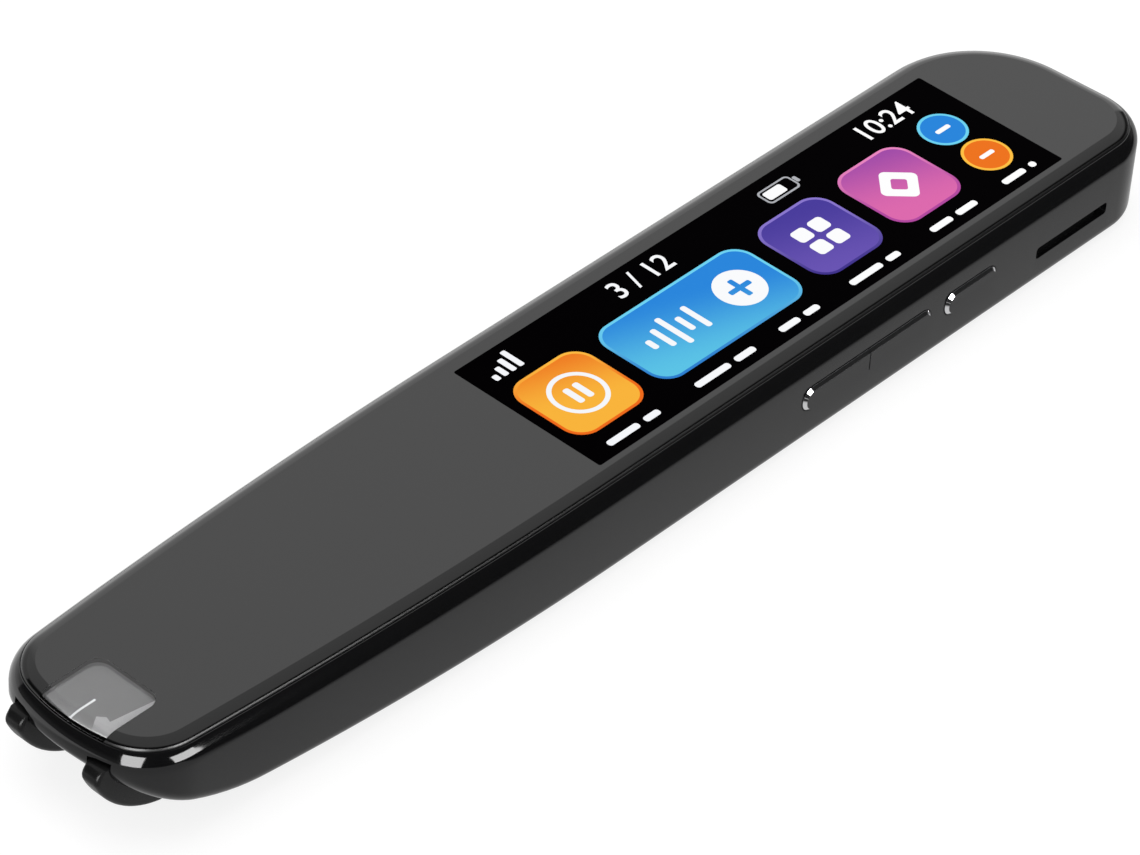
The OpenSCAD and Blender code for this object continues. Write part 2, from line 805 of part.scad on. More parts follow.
port_skin = 0.3;
tongue_size = [6.7, 0.7];

module usb_port() {
    color("silver") difference() {
        along_port(port_x, port_x + port_depth) port_outline(0);
        along_port(port_x + port_skin, tail_x) port_outline(-port_skin);
    }
}

module usb_tongue() {
    color([0.1, 0.1, 0.1])
        along_port(port_x + port_skin, port_x + port_depth - 0.7)
        square(tongue_size, center = true);
}

mic_y = 4;
mic_tail = 5;
mic_size = [3.2, 2, 1.1];
mic_z = tail_board_top + mic_size[2] / 2;

module microphone() {
    color([0.8, 0.7, 0.35])
        translate([tail_x - mic_tail - mic_size[0], mic_y - mic_size[1] / 2, tail_board_top]) cube(mic_size);
}

module speaker() {
    color([0.12, 0.12, 0.13]) difference() {
        union() {
            block([speaker_x, speaker_y, floor_t + corner_in], [speaker_x + speaker_length,
                speaker_y + speaker_width, floor_t + speaker_h]);
            block([speaker_x, speaker_y + corner_in, floor_t], [speaker_x + speaker_length,
                speaker_y + speaker_width, floor_t + speaker_h]);
        }
        block([speaker_x + 1.2, speaker_y - 1, slot_z - slot_h / 2],
            [speaker_x + speaker_length - 1.2, speaker_y + 1.5, slot_z + slot_h / 2]);
    }
}

module speaker_mesh() {
    color([0.3, 0.3, 0.32])
        across(-inner_half, -inner_half + mesh_t)
        translate([speaker_x + 0.3, slot_z - slot_h / 2 - 0.6])
        square([speaker_length - 0.6, slot_h + 1.2]);
}

antenna_half = 4.6;
antenna_tail = 4.6;
antenna_room = 3.7;

module antenna() {
    color([0.75, 0.45, 0.12])
        block([module_end + antenna_room, -antenna_half, plate_top],
            [tail_x - antenna_tail, antenna_half, plate_top + flex_t]);
}

// ---- Glass, film, gasket and display ----

// The glass edge: an upright foot, then a curve that runs out flat
module front_glass() {
    steps = 5;
    foot = seam_z + 0.05;
    color([0.05, 0.05, 0.06]) loft(concat(
        [ring(-seam_gap, level(glass_z))],
        [for (i = [0 : steps]) let (a = 90 * i / steps)
            ring(-seam_gap - glass_curve * (1 - cos(a)), level(foot + (glass_top - foot) * sin(a)))]));
}

module mask_film() {
    color([0.02, 0.02, 0.02]) slab(film_z, glass_z) difference() {
        polygon(outline(-seam_gap - 0.04));
        translate([screen_x, -screen_width / 2]) square([screen_length, screen_width]);
        window_shape();
    }
}

module glass_gasket() {
    color([0.2, 0.2, 0.2]) slab(ledge_z, film_z) difference() {
        polygon(outline(-seam_gap - 0.04));
        polygon(outline(-gasket_w));
    }
}

module display_panel() {
    color([0.02, 0.02, 0.03])
        block([module_x, -module_half, display_z], [module_end, module_half, film_z]);
}

module display_flex() {
    color([0.75, 0.45, 0.12]) across(display_flex_y[0], display_flex_y[1]) {
        translate([flex_slot_x, display_z + 0.4]) square([module_x - flex_slot_x, flex_t]);
        translate([flex_slot_x, board_top]) square([flex_t, display_z + 0.4 + flex_t - board_top]);
    }
}

// ---- Mid frame ----
frame_off = inner_off - frame_fit;
board_screw_spots = [for (x = board_boss_xs, y = [-board_boss_y, board_boss_y]) [x, y]];
frame_screw_spots = concat([for (x = post_xs, side = [-1, 1]) [x, side * frame_post_y(x)]], tail_posts);
frame_front = window_end + tunnel_wall + 0.4;
nose_lip_t = 0.5;

module frame_plate() {
    slab(plate_z, plate_top) difference() {
        polygon(outline(frame_off));
        translate([nose_x, -body_width]) square([frame_front - nose_x, 2 * body_width]);
        translate([flex_slot_x - 0.4, display_flex_y[0] - 1])
            square([1.2, display_flex_y[1] - display_flex_y[0] + 2]);
    }
}

module frame_rim() {
    difference() {
        slab(plate_z, ledge_z) difference() {
            polygon(outline(frame_off));
            polygon(outline(frame_off - frame_rim));
        }
        block([nose_x, -pad_spacing / 2 - flange_out - 0.2, 0],
            [frame_front, pad_spacing / 2 + flange_out + 0.2, ledge_z - nose_lip_t]);
        block([nose_x, -tunnel_top_half - 0.1, 0], [frame_front, tunnel_top_half + 0.1, seam_z]);
        block([module_x - 0.1, -module_half - 0.1, display_z],
            [module_end + 0.1, module_half + 0.1, seam_z]);
    }
}

module tip_seats() {
    intersection() {
        at_pads() translate([-seat_half - 0.2, -seat_half, seat_in])
            cube([2 * seat_half + 0.4, 2 * seat_half, seat_t]);
        block([nose_x, -half_w, 0], [0, half_w, ledge_z - tunnel_brim_t - 0.1]);
    }
    both_sides()
        block([pad_x + 5.05, pad_spacing / 2 - seat_half, plate_z],
            [frame_front + 0.5, pad_spacing / 2 + seat_half, ledge_z - tunnel_brim_t - 0.1]);
}

module mid_frame() {
    color([0.22, 0.22, 0.24]) difference() {
        union() {
            frame_plate();
            frame_rim();
            tip_seats();
            for (p = board_screw_spots)
                translate([p[0], p[1], board_top]) cylinder(h = boss_h + 0.1, r = boss_r);
            block([key_flex_x0, key_rib_y, key_z - key_flex_h / 2],
                [key_flex_x1, key_rib_y + key_rib_t, plate_top]);
        }
        for (p = board_screw_spots) translate([p[0], p[1], 0]) cylinder(h = plate_top - 0.2, r = screw_r);
        for (p = frame_screw_spots) translate([p[0], p[1], 0]) {
            cylinder(h = seam_z, r = screw_r + screw_fit);
            translate([0, 0, plate_top]) cylinder(h = seam_z, r = head_r + 0.1);
        }
        at_pads() cylinder(h = pin_end, r = pin_r);
    }
}

// The posts near the nose follow the tapering side
function edge_half(x, off) = sweep_centre[1] + sqrt(pow(sweep_r + off, 2) - pow(min(x - sweep_x, 0), 2));

function frame_post_y(x) = edge_half(x, inner_off) - boss_r - 0.1;

// ---- Screws, all of one kind ----
module screw() {
    cylinder(h = head_t, r = head_r);
    translate([0, 0, -screw_length]) cylinder(h = screw_length + 0.1, r = screw_r);
}

module case_screws() {
    color("silver") {
        for (p = board_screw_spots) translate([p[0], p[1], board_z]) rotate([180, 0, 0]) screw();
        for (p = frame_screw_spots) translate([p[0], p[1], plate_top]) screw();
        for (p = tail_boss_spots) translate([p[0], p[1], tail_board_top]) screw();
    }
}

// ---- Case ----
module post(x, y, top) {
    difference() {
        translate([x, y, belly(x) + floor_t - 0.6]) cylinder(h = top - belly(x) - floor_t + 0.6, r = boss_r);
        translate([x, y, top - 2.2]) cylinder(h = 4, r = screw_r);
    }
}

module case_cuts() {
    key_opening(volume_x, volume_x + volume_length);
    key_opening(power_x, power_x + power_length);
    across(-half_w - 1, -inner_half + 0.1)
        translate([tail_x - slot_end - slot_length, slot_z - slot_h / 2])
        round_rect([slot_length, slot_h], 0.4);
    along_port(port_x, tail_x + 2) port_outline(0.1);
    translate([tail_x - 6, mic_y, mic_z]) rotate([0, 90, 0]) cylinder(h = 8, r = 0.45);
    intersection() {
        at_pads() pad_shape(pad_gap, -slot_out, slot_in);
        block([nose_x - 2, -half_w, -1], [0, half_w, slot_clip_z]);
    }
    block([scan_x0 - scan_gap, -scan_half - scan_gap, 0],
        [scan_x1 + scan_gap, scan_half + scan_gap, ledge_z - 1.4]);
}

module back_shell() {
    color([0.03, 0.03, 0.035]) union() {
        difference() {
            shell_blank();
            case_cuts();
        }
        for (p = frame_screw_spots) post(p[0], p[1], plate_z);
        for (p = tail_boss_spots) post(p[0], p[1], tail_board_z);
    }
}

back_shell();
front_glass();
mask_film();
glass_gasket();
display_panel();
display_flex();
mid_frame();
case_screws();
main_board();
processor_shield();
board_parts();
battery();
battery_tape();
battery_lead();
link_flex();
tail_board();
usb_port();
usb_tongue();
microphone();
speaker();
speaker_mesh();
antenna();
volume_up_key();
volume_down_key();
power_button();
key_flex();
key_domes();
scan_tip();
tip_springs();
tip_guide_pins();
tip_switch();
sight_tunnel();
scan_window();
scan_camera();
camera_lens();
camera_flex();
led_board();
scan_leds();
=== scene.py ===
import math
import bmesh
import bpy
from mathutils import Matrix, Vector


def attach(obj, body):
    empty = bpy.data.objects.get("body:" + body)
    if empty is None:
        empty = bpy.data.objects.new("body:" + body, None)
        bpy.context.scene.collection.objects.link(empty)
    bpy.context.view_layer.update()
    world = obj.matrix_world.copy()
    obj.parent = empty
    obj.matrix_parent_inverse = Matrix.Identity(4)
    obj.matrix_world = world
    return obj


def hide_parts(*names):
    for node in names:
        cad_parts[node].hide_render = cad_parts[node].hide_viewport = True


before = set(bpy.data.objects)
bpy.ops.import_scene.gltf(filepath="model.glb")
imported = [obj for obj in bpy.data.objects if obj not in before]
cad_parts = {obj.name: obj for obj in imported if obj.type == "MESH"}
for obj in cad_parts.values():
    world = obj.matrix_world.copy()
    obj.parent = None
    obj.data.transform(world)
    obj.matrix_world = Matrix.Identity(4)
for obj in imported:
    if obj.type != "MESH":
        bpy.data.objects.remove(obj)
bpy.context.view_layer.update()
MM = 0.001
FULL_ROUND = 0.9999


def at(x, y, z):
    return Vector((x, y, z)) * MM


# ---- Sizes of the pen in millimetres: +X to the tail, +Z up through the screen ----
HALF_LENGTH = 76.4
HALF_WIDTH = 13.8
SHOULDER_IN = 1.1
SHOULDER_R = 2.4
SHOULDER_TILT = math.acos(1 - (SHOULDER_IN - 0.1) / SHOULDER_R)
SEAM_Z = 11.3
SHOULDER_Z = SEAM_Z - SHOULDER_R * math.sin(SHOULDER_TILT)
SEAM_HALF = HALF_WIDTH - SHOULDER_IN
LEDGE_Z = 10.8
LEDGE_IN = 0.4
FLOOR_T = 1.2
INNER_R = 1.2
BOTTOM_R = 1.8
INNER_HALF = 12.3
CUT_IN = 1.4

# The outline's arcs seen from above, and the chin, which rises in side view
SWEEP_R = 750
SWEEP = (-11.4, SEAM_HALF - SWEEP_R)
CHIN_X = -60
CHIN_R = 25
FRONT_R = 24
FRONT = (SHOULDER_IN + FRONT_R - HALF_LENGTH, 0)
CORNER_R = 6.5
TAIL_FAR_R = SEAM_HALF - 0.3
TAIL_NEAR_R = 6.2
TAIL_SLANT = math.radians(2.5)
TAIL_NEAR = (HALF_LENGTH - SHOULDER_IN - TAIL_NEAR_R, TAIL_NEAR_R - SEAM_HALF)

GLASS_GAP = 0.06
GLASS_CURVE = 1.4
GLASS_UNDER = 11.02
GLASS_FOOT = 11.35
GLASS_TOP = 12.02

# The lit area: both ends and half its width, its layers, and how far off the middle it is seen
SCREEN = (-11.45, 62.75, 10.15)
LAYER = 0.013
FONT_SCALE = 1.38
FIGURE_WEIGHT = 0.012
LIT_AT = (-0.65, -0.4, 0)

# The sight window: corners of its pane and its line, and the clear patch's end, middle, half width
PANE = ((-74.65, -4.72, 11.001), (-66.65, 4.25, 11.006))
AIM_LINE = ((-74.7, -0.31, 11.008), (-71.4, -0.07, 11.018))
CLEAR = (-67.15, -0.54, 4.39)
WINDOW_R = 1.6
STUB_TIP = (-72.94, -1.94)

KEY_Z = 6
KEY_R = 1.5
KEY_FACE = -(HALF_WIDTH + 0.4)
KEY_GAP = 0.12
KEY_BEVEL = 0.36
KEY_FLANGE_Y = -12.2
KEY_FLANGE_T = 0.5
KEY_LIP = 0.5
KEY_NUB_R = 0.74
KEY_NUB_LENGTH = 0.8
VOLUME = (15.9, 36.7)
POWER = (39.0, 47.6)
KEY_SPLIT = 0.16

# Sound slot: both ends, the height of its middle, and its own height
SLOT = (54.8, 67.0, 4.65, 1.5)
SLOT_R = 0.4
# Charging port: where it starts, its middle across and up, its width and its height
PORT = (68.5, -2, 5.63, 8.94, 3.26)
# Microphone hole: its place across and up, and its radius
MIC = (4, 4.55, 0.45)
MIC_DEPTH = 8
OPENING_GAP = 0.1

# Scan tip: place and lean of the pads, and their side view in their own frame
PAD_X = -73.6
PAD_Y = 5.265
PAD_Z = 6
PAD_TILT = math.radians(50)
PAD_HALF = 1.2
PAD_FRONT = 4.4
PAD_REAR = 7.5
PAD_ARC_R = 12.05
PAD_ARC_REAR = 3.7
PAD_END_R = 1.2
PAD_STEP = 1.6
PAD_PROUD = 2
PAD_IN = 2
PAD_ROUND = 0.5
PAD_CLIP = 9.4
PAD_GAP = 0.1
SLOT_CLIP = 10.01
FORK_X = (-62.5, -61.3)
FORK_Z = (6.6, 7.9)
ARM_X = (PAD_X + 1.6, -61.4)
ARM_FOOT = 6.8
ARM_OUT = 1.4
FLANGE_IN = 1.35
FLANGE_OUT = 2.4
FLANGE_X = (-1.3, 1.2)
FLANGE_Z = (1.95, 2.8)
SCAN = (-73.3, -66.1, 2.35)

ALONG_NOSE = 14
ALONG_SWEEP = 44
ALONG_SIDE = 50
ALONG_TAIL = 26
ALONG = ALONG_NOSE + ALONG_SWEEP + ALONG_SIDE + ALONG_TAIL
ACROSS = 24


# ---- The outline, drawn as the part's source draws it ----
def angle_to(start, end):
    return math.atan2(end[1] - start[1], end[0] - start[0])


def circles_meet(a, ra, b, rb):
    gap = math.hypot(b[0] - a[0], b[1] - a[1])
    along = (ra * ra - rb * rb + gap * gap) / (2 * gap)
    across = math.sqrt(ra * ra - along * along)
    ux, uy = (b[0] - a[0]) / gap, (b[1] - a[1]) / gap
    return a[0] + along * ux - across * uy, a[1] + along * uy + across * ux


CORNER = circles_meet(SWEEP, SWEEP_R - CORNER_R, FRONT, FRONT_R - CORNER_R)
CORNER_END = angle_to(SWEEP, CORNER)
CORNER_START = angle_to(FRONT, CORNER)
TAIL_DROP = SEAM_HALF - TAIL_FAR_R - TAIL_NEAR[1]
TAIL_FAR = (TAIL_NEAR[0] - (TAIL_FAR_R - TAIL_NEAR_R + TAIL_DROP * math.sin(TAIL_SLANT))
            / math.cos(TAIL_SLANT), SEAM_HALF - TAIL_FAR_R)


def arc(centre, radius, start, end, steps):
    turns = [start + (end - start) * i / steps for i in range(steps + 1)]
    return [(centre[0] + radius * math.cos(a), centre[1] + radius * math.sin(a)) for a in turns]


def between(a, b, share):
    return a[0] + (b[0] - a[0]) * share, a[1] + (b[1] - a[1]) * share


def long_edge(off, far):
    """Points along one long side, from the nose's corner to the end of the tail."""
    nose = arc(CORNER, CORNER_R + off, CORNER_START, CORNER_END, ALONG_NOSE)
    nose += arc(SWEEP, SWEEP_R + off, CORNER_END, math.pi / 2, ALONG_SWEEP)[1:]
    if far:
        tail = arc(TAIL_FAR, TAIL_FAR_R + off, math.pi / 2, TAIL_SLANT, ALONG_TAIL)
    else:
        nose = [(x, -y) for x, y in nose]
        tail = arc(TAIL_NEAR, TAIL_NEAR_R + off, -math.pi / 2, TAIL_SLANT, ALONG_TAIL)
    side = [between(nose[-1], tail[0], i / ALONG_SIDE) for i in range(1, ALONG_SIDE)]
    return nose + side + tail


def rim(off):
    """Place of each rim point of a sheet, by its column and row."""
    near, far = long_edge(off, False), long_edge(off, True)
    front = arc(FRONT, FRONT_R + off, 2 * math.pi - CORNER_START, CORNER_START, ACROSS)
    places = {}
    for i in range(ALONG + 1):
        places[i, 0] = near[i]
        places[i, ACROSS] = far[i]
    for j in range(ACROSS + 1):
        places[0, j] = front[j]
        places[ALONG, j] = between(near[-1], far[-1], j / ACROSS)
    return places


def spread(off):
    """Place of every point of a sheet that is drawn across its rim."""
    edge = rim(off)
    places = {}
    for i in range(ALONG + 1):
        u = i / ALONG
        for j in range(ACROSS + 1):
            v = j / ACROSS
            along = between(edge[i, 0], edge[i, ACROSS], v)
            across = between(edge[0, j], edge[ALONG, j], u)
            corners = between(between(edge[0, 0], edge[0, ACROSS], v),
                              between(edge[ALONG, 0], edge[ALONG, ACROSS], v), u)
            places[i, j] = (along[0] + across[0] - corners[0], along[1] + across[1] - corners[1])
    places.update(edge)
    return places


def rise(x, start, radius):
    """How far a level line that bends up at start has risen towards the nose."""
    return (start - x) ** 2 / (2 * radius) if x < start else 0


def belly(x):
    """Height of the underside: flat, then rising along the sweep and up the chin."""
    return rise(x, SWEEP[0], SWEEP_R) + rise(x, CHIN_X, CHIN_R)


def level(z):
    """The same height at every place."""
    return lambda x: z


def above_belly(lift, share):
    """A height over the underside, with a share of its rounded edge."""
    return lambda x: belly(x) + lift + share * min(BOTTOM_R, 0.9 * (SHOULDER_Z - belly(x)))


# ---- Hand work ----
def lay_down():
    """Nothing is being edited and nothing is selected."""
    if bpy.context.object and bpy.context.object.mode != "OBJECT":
        bpy.ops.object.mode_set(mode="OBJECT")
    bpy.ops.object.select_all(action="DESELECT")


def take(obj, *more):
    """A piece is active and selected, alone or with others."""
    lay_down()
    for item in (obj,) + more:
        item.select_set(True)
    bpy.context.view_layer.objects.active = obj
    return obj


def edit(obj, kind="VERT"):
    """A piece is opened for shaping, with nothing in it selected."""
    take(obj)
    bpy.ops.object.mode_set(mode="EDIT")
    bpy.ops.mesh.select_mode(type=kind)
    bpy.ops.mesh.select_all(action="DESELECT")
    return bmesh.from_edit_mesh(obj.data)


def added(name):
    obj = bpy.context.object
    obj.name = name
    obj.data.name = name
    return obj


def settle(obj):
    """The place, turn and size of a piece go into its mesh."""
    take(obj)
    bpy.ops.object.transform_apply(location=True, rotation=True, scale=True)
    return obj


def turn_out(obj):
    """Points that meet are merged, and all faces look outwards."""
    edit(obj)
    bpy.ops.mesh.select_all(action="SELECT")
    bpy.ops.mesh.remove_doubles(threshold=0.000002)
    bpy.ops.mesh.normals_make_consistent(inside=False)
    lay_down()


def smooth(obj, degrees=32):
    take(obj)
    bpy.ops.object.shade_smooth_by_angle(angle=math.radians(degrees))
    return obj


def apply(obj, kind, **values):
    take(obj)
    modifier = obj.modifiers.new(kind.title(), kind)
    for key, value in values.items():
        setattr(modifier, key, value)
    bpy.ops.object.modifier_apply(modifier=modifier.name)


def carve(obj, *cutters):
    """The cutters are taken out of a piece, one after another."""
    for cutter in cutters:
        apply(obj, "BOOLEAN", operation="DIFFERENCE", solver="EXACT", object=cutter)
        bpy.data.objects.remove(cutter)


def join(obj, *more):
    take(obj, *more)
    bpy.ops.object.join()


def pick_edges(bm, wanted):
    for edge in [e for e in bm.edges if wanted(e)]:
        edge.select_set(True)


def runs_along(edge, axis):
    way = edge.verts[1].co - edge.verts[0].co
    return abs(way.normalized()[axis]) > 0.999


def pick_faces(bm, wanted):
    for face in [f for f in bm.faces if wanted(f)]:
        face.select_set(True)


def bar(name, low, high, axis=None, radius=0.0, steps=10):
    """A block from corner to corner; the edges along one axis are rounded, at most to a full round."""
    lay_down()
    middle = [(a + b) / 2 for a, b in zip(low, high)]
    bpy.ops.mesh.primitive_cube_add(size=MM, location=at(*middle))
    obj = added(name)
    obj.scale = [b - a for a, b in zip(low, high)]
    settle(obj)
    if axis is not None:
        bm = edit(obj, "EDGE")
        pick_edges(bm, lambda edge: runs_along(edge, axis))
        bpy.ops.mesh.bevel(offset=radius * MM * FULL_ROUND, segments=steps, affect="EDGES")
    lay_down()
    return obj


def soften(obj, wanted, radius, steps=4):
    """The chosen edges are rounded."""
    bm = edit(obj, "EDGE")
    pick_edges(bm, wanted)
    bpy.ops.mesh.bevel(offset=radius * MM, segments=steps, affect="EDGES")
    lay_down()


def place(obj, body, slot, material, *replaced):
    obj.data.materials.clear()
    obj.data.materials.append(material)
    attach(obj, body)
    if replaced:
        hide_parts(*replaced)


# ---- Sheets and the walls drawn on from their rims ----
def sheet(name, off, height):
    """A grid over the outline at the height of each place, with what its rim points are."""
    lay_down()
    bpy.ops.mesh.primitive_grid_add(x_subdivisions=ALONG, y_subdivisions=ACROSS, size=1)
    obj = added(name)
    places = spread(off)
    rims = {}
    for vert in obj.data.vertices:
        i = round((vert.co.x + 0.5) * ALONG)
        j = round((vert.co.y + 0.5) * ACROSS)
        x, y = places[i, j]
        vert.co = at(x, y, height(x))
        if i in (0, ALONG) or j in (0, ACROSS):
            rims[tuple(vert.co)] = (i, j)
    return obj, rims


def draw_on(obj, rims, levels):
    """The open rim is extruded from level to level, each one led to its own outline."""
    edit(obj, "EDGE")
    bpy.ops.mesh.select_non_manifold()
    for off, height in levels:
        bpy.ops.mesh.extrude_region_move()
        bm = bmesh.from_edit_mesh(obj.data)
        places = rim(off)
        moved = {}
        for vert in bm.verts:
            if vert.select:
                spot = rims[tuple(vert.co)]
                x, y = places[spot]
                vert.co = at(x, y, height(x))
                moved[tuple(vert.co)] = spot
        rims = moved
        bmesh.update_edit_mesh(obj.data)


# ---- The moulded case ----
def lower_levels(steps):
    """The rounded edge of the underside, from the flat outwards and up."""
    turns = [math.pi / 2 * i / steps for i in range(1, steps + 1)]
    return [(SHOULDER_IN - BOTTOM_R * (1 - math.sin(a)), above_belly(0, 1 - math.cos(a)))
            for a in turns]


def shoulder_levels(steps):
    """The side and the rounded shoulder over it, up to the seam."""
    turns = [SHOULDER_TILT * i / steps for i in range(steps + 1)]
    return [(SHOULDER_IN - SHOULDER_R * (1 - math.cos(a)),
             level(SHOULDER_Z + SHOULDER_R * math.sin(a))) for a in turns]


def key_cutter(name, ends):
    """The slot of a key, wider than the key by its gap all round."""
    gap = KEY_R + KEY_GAP
    return bar(name, (ends[0] - KEY_GAP, -HALF_WIDTH - 1, KEY_Z - gap),
               (ends[1] + KEY_GAP, -INNER_HALF + CUT_IN, KEY_Z + gap), 1, gap, 14)


def pad_cutter(side):
    half = PAD_HALF + PAD_GAP
    cutter = bar("pad_cutter", (-PAD_FRONT - PAD_GAP, -half, -4), (PAD_REAR + PAD_GAP, half, 7))
    cutter.matrix_world = pad_frame(side)
    return cut_off_above(settle(cutter), SLOT_CLIP)


def pad_frame(side):
    """Place and lean of a pad on its side of the pen."""
    turn = Matrix.Rotation(PAD_TILT, 4, "Y")
    return Matrix.Translation(at(PAD_X, side * PAD_Y, PAD_Z)) @ turn


def cut_off_above(obj, z):
    """What stands over a height is cut off, and the cut is closed."""
    edit(obj)
    bpy.ops.mesh.select_all(action="SELECT")
    bpy.ops.mesh.bisect(plane_co=at(0, 0, z), plane_no=(0, 0, 1), use_fill=True, clear_outer=True)
    lay_down()
    return obj


def inner_floor(x):
    return belly(x) + FLOOR_T


def case_skin():
    """The outer skin up to the seam, the ledge under the glass, and the walls and floor inside."""
    skin, rims = sheet("case_skin", SHOULDER_IN - BOTTOM_R, above_belly(0, 0))
    walls = lower_levels(9) + shoulder_levels(9) + [
        (0.01, level(SEAM_Z)), (0, level(SEAM_Z - 0.01)),
        (0, level(LEDGE_Z)), (-LEDGE_IN, level(LEDGE_Z)),
        (-LEDGE_IN, lambda x: inner_floor(x) + min(INNER_R, 0.5 * (LEDGE_Z - inner_floor(x)))),
        (-LEDGE_IN - INNER_R, inner_floor)]
    draw_on(skin, rims, walls)
    floor, _ = sheet("case_floor", -LEDGE_IN - INNER_R, inner_floor)
    join(skin, floor)
    turn_out(skin)
    slot_x0, slot_x1, slot_z, slot_h = SLOT
    port_x, port_y, port_z, port_w, port_h = PORT
    lay_down()
    bpy.ops.mesh.primitive_cylinder_add(vertices=32, radius=MIC[2] * MM, depth=MIC_DEPTH * MM,
                                        location=at(HALF_LENGTH - 2, MIC[0], MIC[1]),
                                        rotation=(0, math.pi / 2, 0))
    hole = settle(added("mic_cutter"))
    gap = OPENING_GAP
    carve(skin,
          key_cutter("volume_cutter", VOLUME), key_cutter("power_cutter", POWER),
          bar("slot_cutter", (slot_x0, -HALF_WIDTH - 1, slot_z - slot_h / 2),
              (slot_x1, -INNER_HALF + CUT_IN, slot_z + slot_h / 2), 1, SLOT_R, 8),
          bar("port_cutter", (port_x, port_y - port_w / 2 - gap, port_z - port_h / 2 - gap),
              (port_x + 12, port_y + port_w / 2 + gap, port_z + port_h / 2 + gap),
              0, port_h / 2 + gap, 14),
          bar("scan_cutter", (SCAN[0] - gap, -SCAN[2] - gap, -1),
              (SCAN[1] + gap, SCAN[2] + gap, LEDGE_Z - 1.4)),
          hole, pad_cutter(1), pad_cutter(-1))
    return smooth(skin, 28)


# ---- The curved cover glass ----
def cover_glass():
    """A flat top with a crisp edge, from which a curved border runs down to an upright foot."""
    steps = 10
    crest = math.radians(70)
    turns = [crest * i / steps for i in range(steps - 1, -1, -1)]
    edge = [(-GLASS_GAP - GLASS_CURVE * (1 - math.cos(a)) / (1 - math.cos(crest)),
             level(GLASS_FOOT + (GLASS_TOP - GLASS_FOOT) * math.sin(a) / math.sin(crest)))
            for a in turns]
    glass, rims = sheet("cover_glass", -GLASS_GAP - GLASS_CURVE, level(GLASS_TOP))
    draw_on(glass, rims, edge + [(-GLASS_GAP, level(GLASS_UNDER))])
    bpy.ops.mesh.edge_face_add()
    turn_out(glass)
    smooth(glass, 40)
    bm = edit(glass, "EDGE")
    pick_edges(bm, lambda edge: len(edge.link_faces) == 2
               and all(v.co.z > (GLASS_TOP - 0.001) * MM for v in edge.verts)
               and min(f.normal.z for f in edge.link_faces) < 0.9995)
    bpy.ops.mesh.mark_sharp()
    lay_down()
    return glass


# ---- The lit screen: a black plate, with tiles, marks and digits on it ----
def plate(name, x, y, width, height, radius, layer, corner_steps=10):
    """A thin rounded plate on the given layer of the screen."""
    z = GLASS_TOP + layer * LAYER
    return bar(name, (x - width / 2, y - height / 2, z - LAYER),
               (x + width / 2, y + height / 2, z), 2, radius, corner_steps)


def turned(obj, x, y, degrees):
    """A plate turned about its own middle."""
    edit(obj)
    bpy.ops.mesh.select_all(action="SELECT")
    centre = at(x, y, GLASS_TOP)
    bpy.ops.transform.rotate(value=-math.radians(degrees), orient_axis="Z", center_override=centre)
    lay_down()
    return obj


def ring_mark(name, x, y, radius, width, layer):
    """A flat ring, cut out of a disc by an inset."""
    z = GLASS_TOP + layer * LAYER
    lay_down()
    bpy.ops.mesh.primitive_cylinder_add(vertices=48, radius=radius * MM, depth=LAYER * MM,
                                        location=at(x, y, z - LAYER / 2))
    obj = settle(added(name))
    bm = edit(obj, "FACE")
    pick_faces(bm, lambda face: abs(face.normal.z) > 0.9)
    bpy.ops.mesh.inset(thickness=width * MM, use_individual=True)
    bpy.ops.mesh.bridge_edge_loops()
    lay_down()
    return obj


def disc(name, x, y, radius, layer):
    z = GLASS_TOP + layer * LAYER
    lay_down()
    bpy.ops.mesh.primitive_cylinder_add(vertices=40, radius=radius * MM, depth=LAYER * MM,
                                        location=at(x, y, z - LAYER / 2))
    return settle(added(name))


def digits(name, words, x, y, height, layer):
    """Plain figures of a given height, a little fattened."""
    z = GLASS_TOP + layer * LAYER
    lay_down()
    bpy.ops.object.text_add(location=at(x, y, z - LAYER / 2))
    obj = added(name)
    obj.data.body = words
    obj.data.align_x = "CENTER"
    obj.data.align_y = "CENTER"
    obj.data.size = height * FONT_SCALE * MM
    obj.data.offset = FIGURE_WEIGHT * height * MM
    obj.data.extrude = LAYER * MM / 2
    obj.data.resolution_u = 6
    take(obj)
    bpy.ops.object.convert(target="MESH")
    return settle(bpy.context.object)


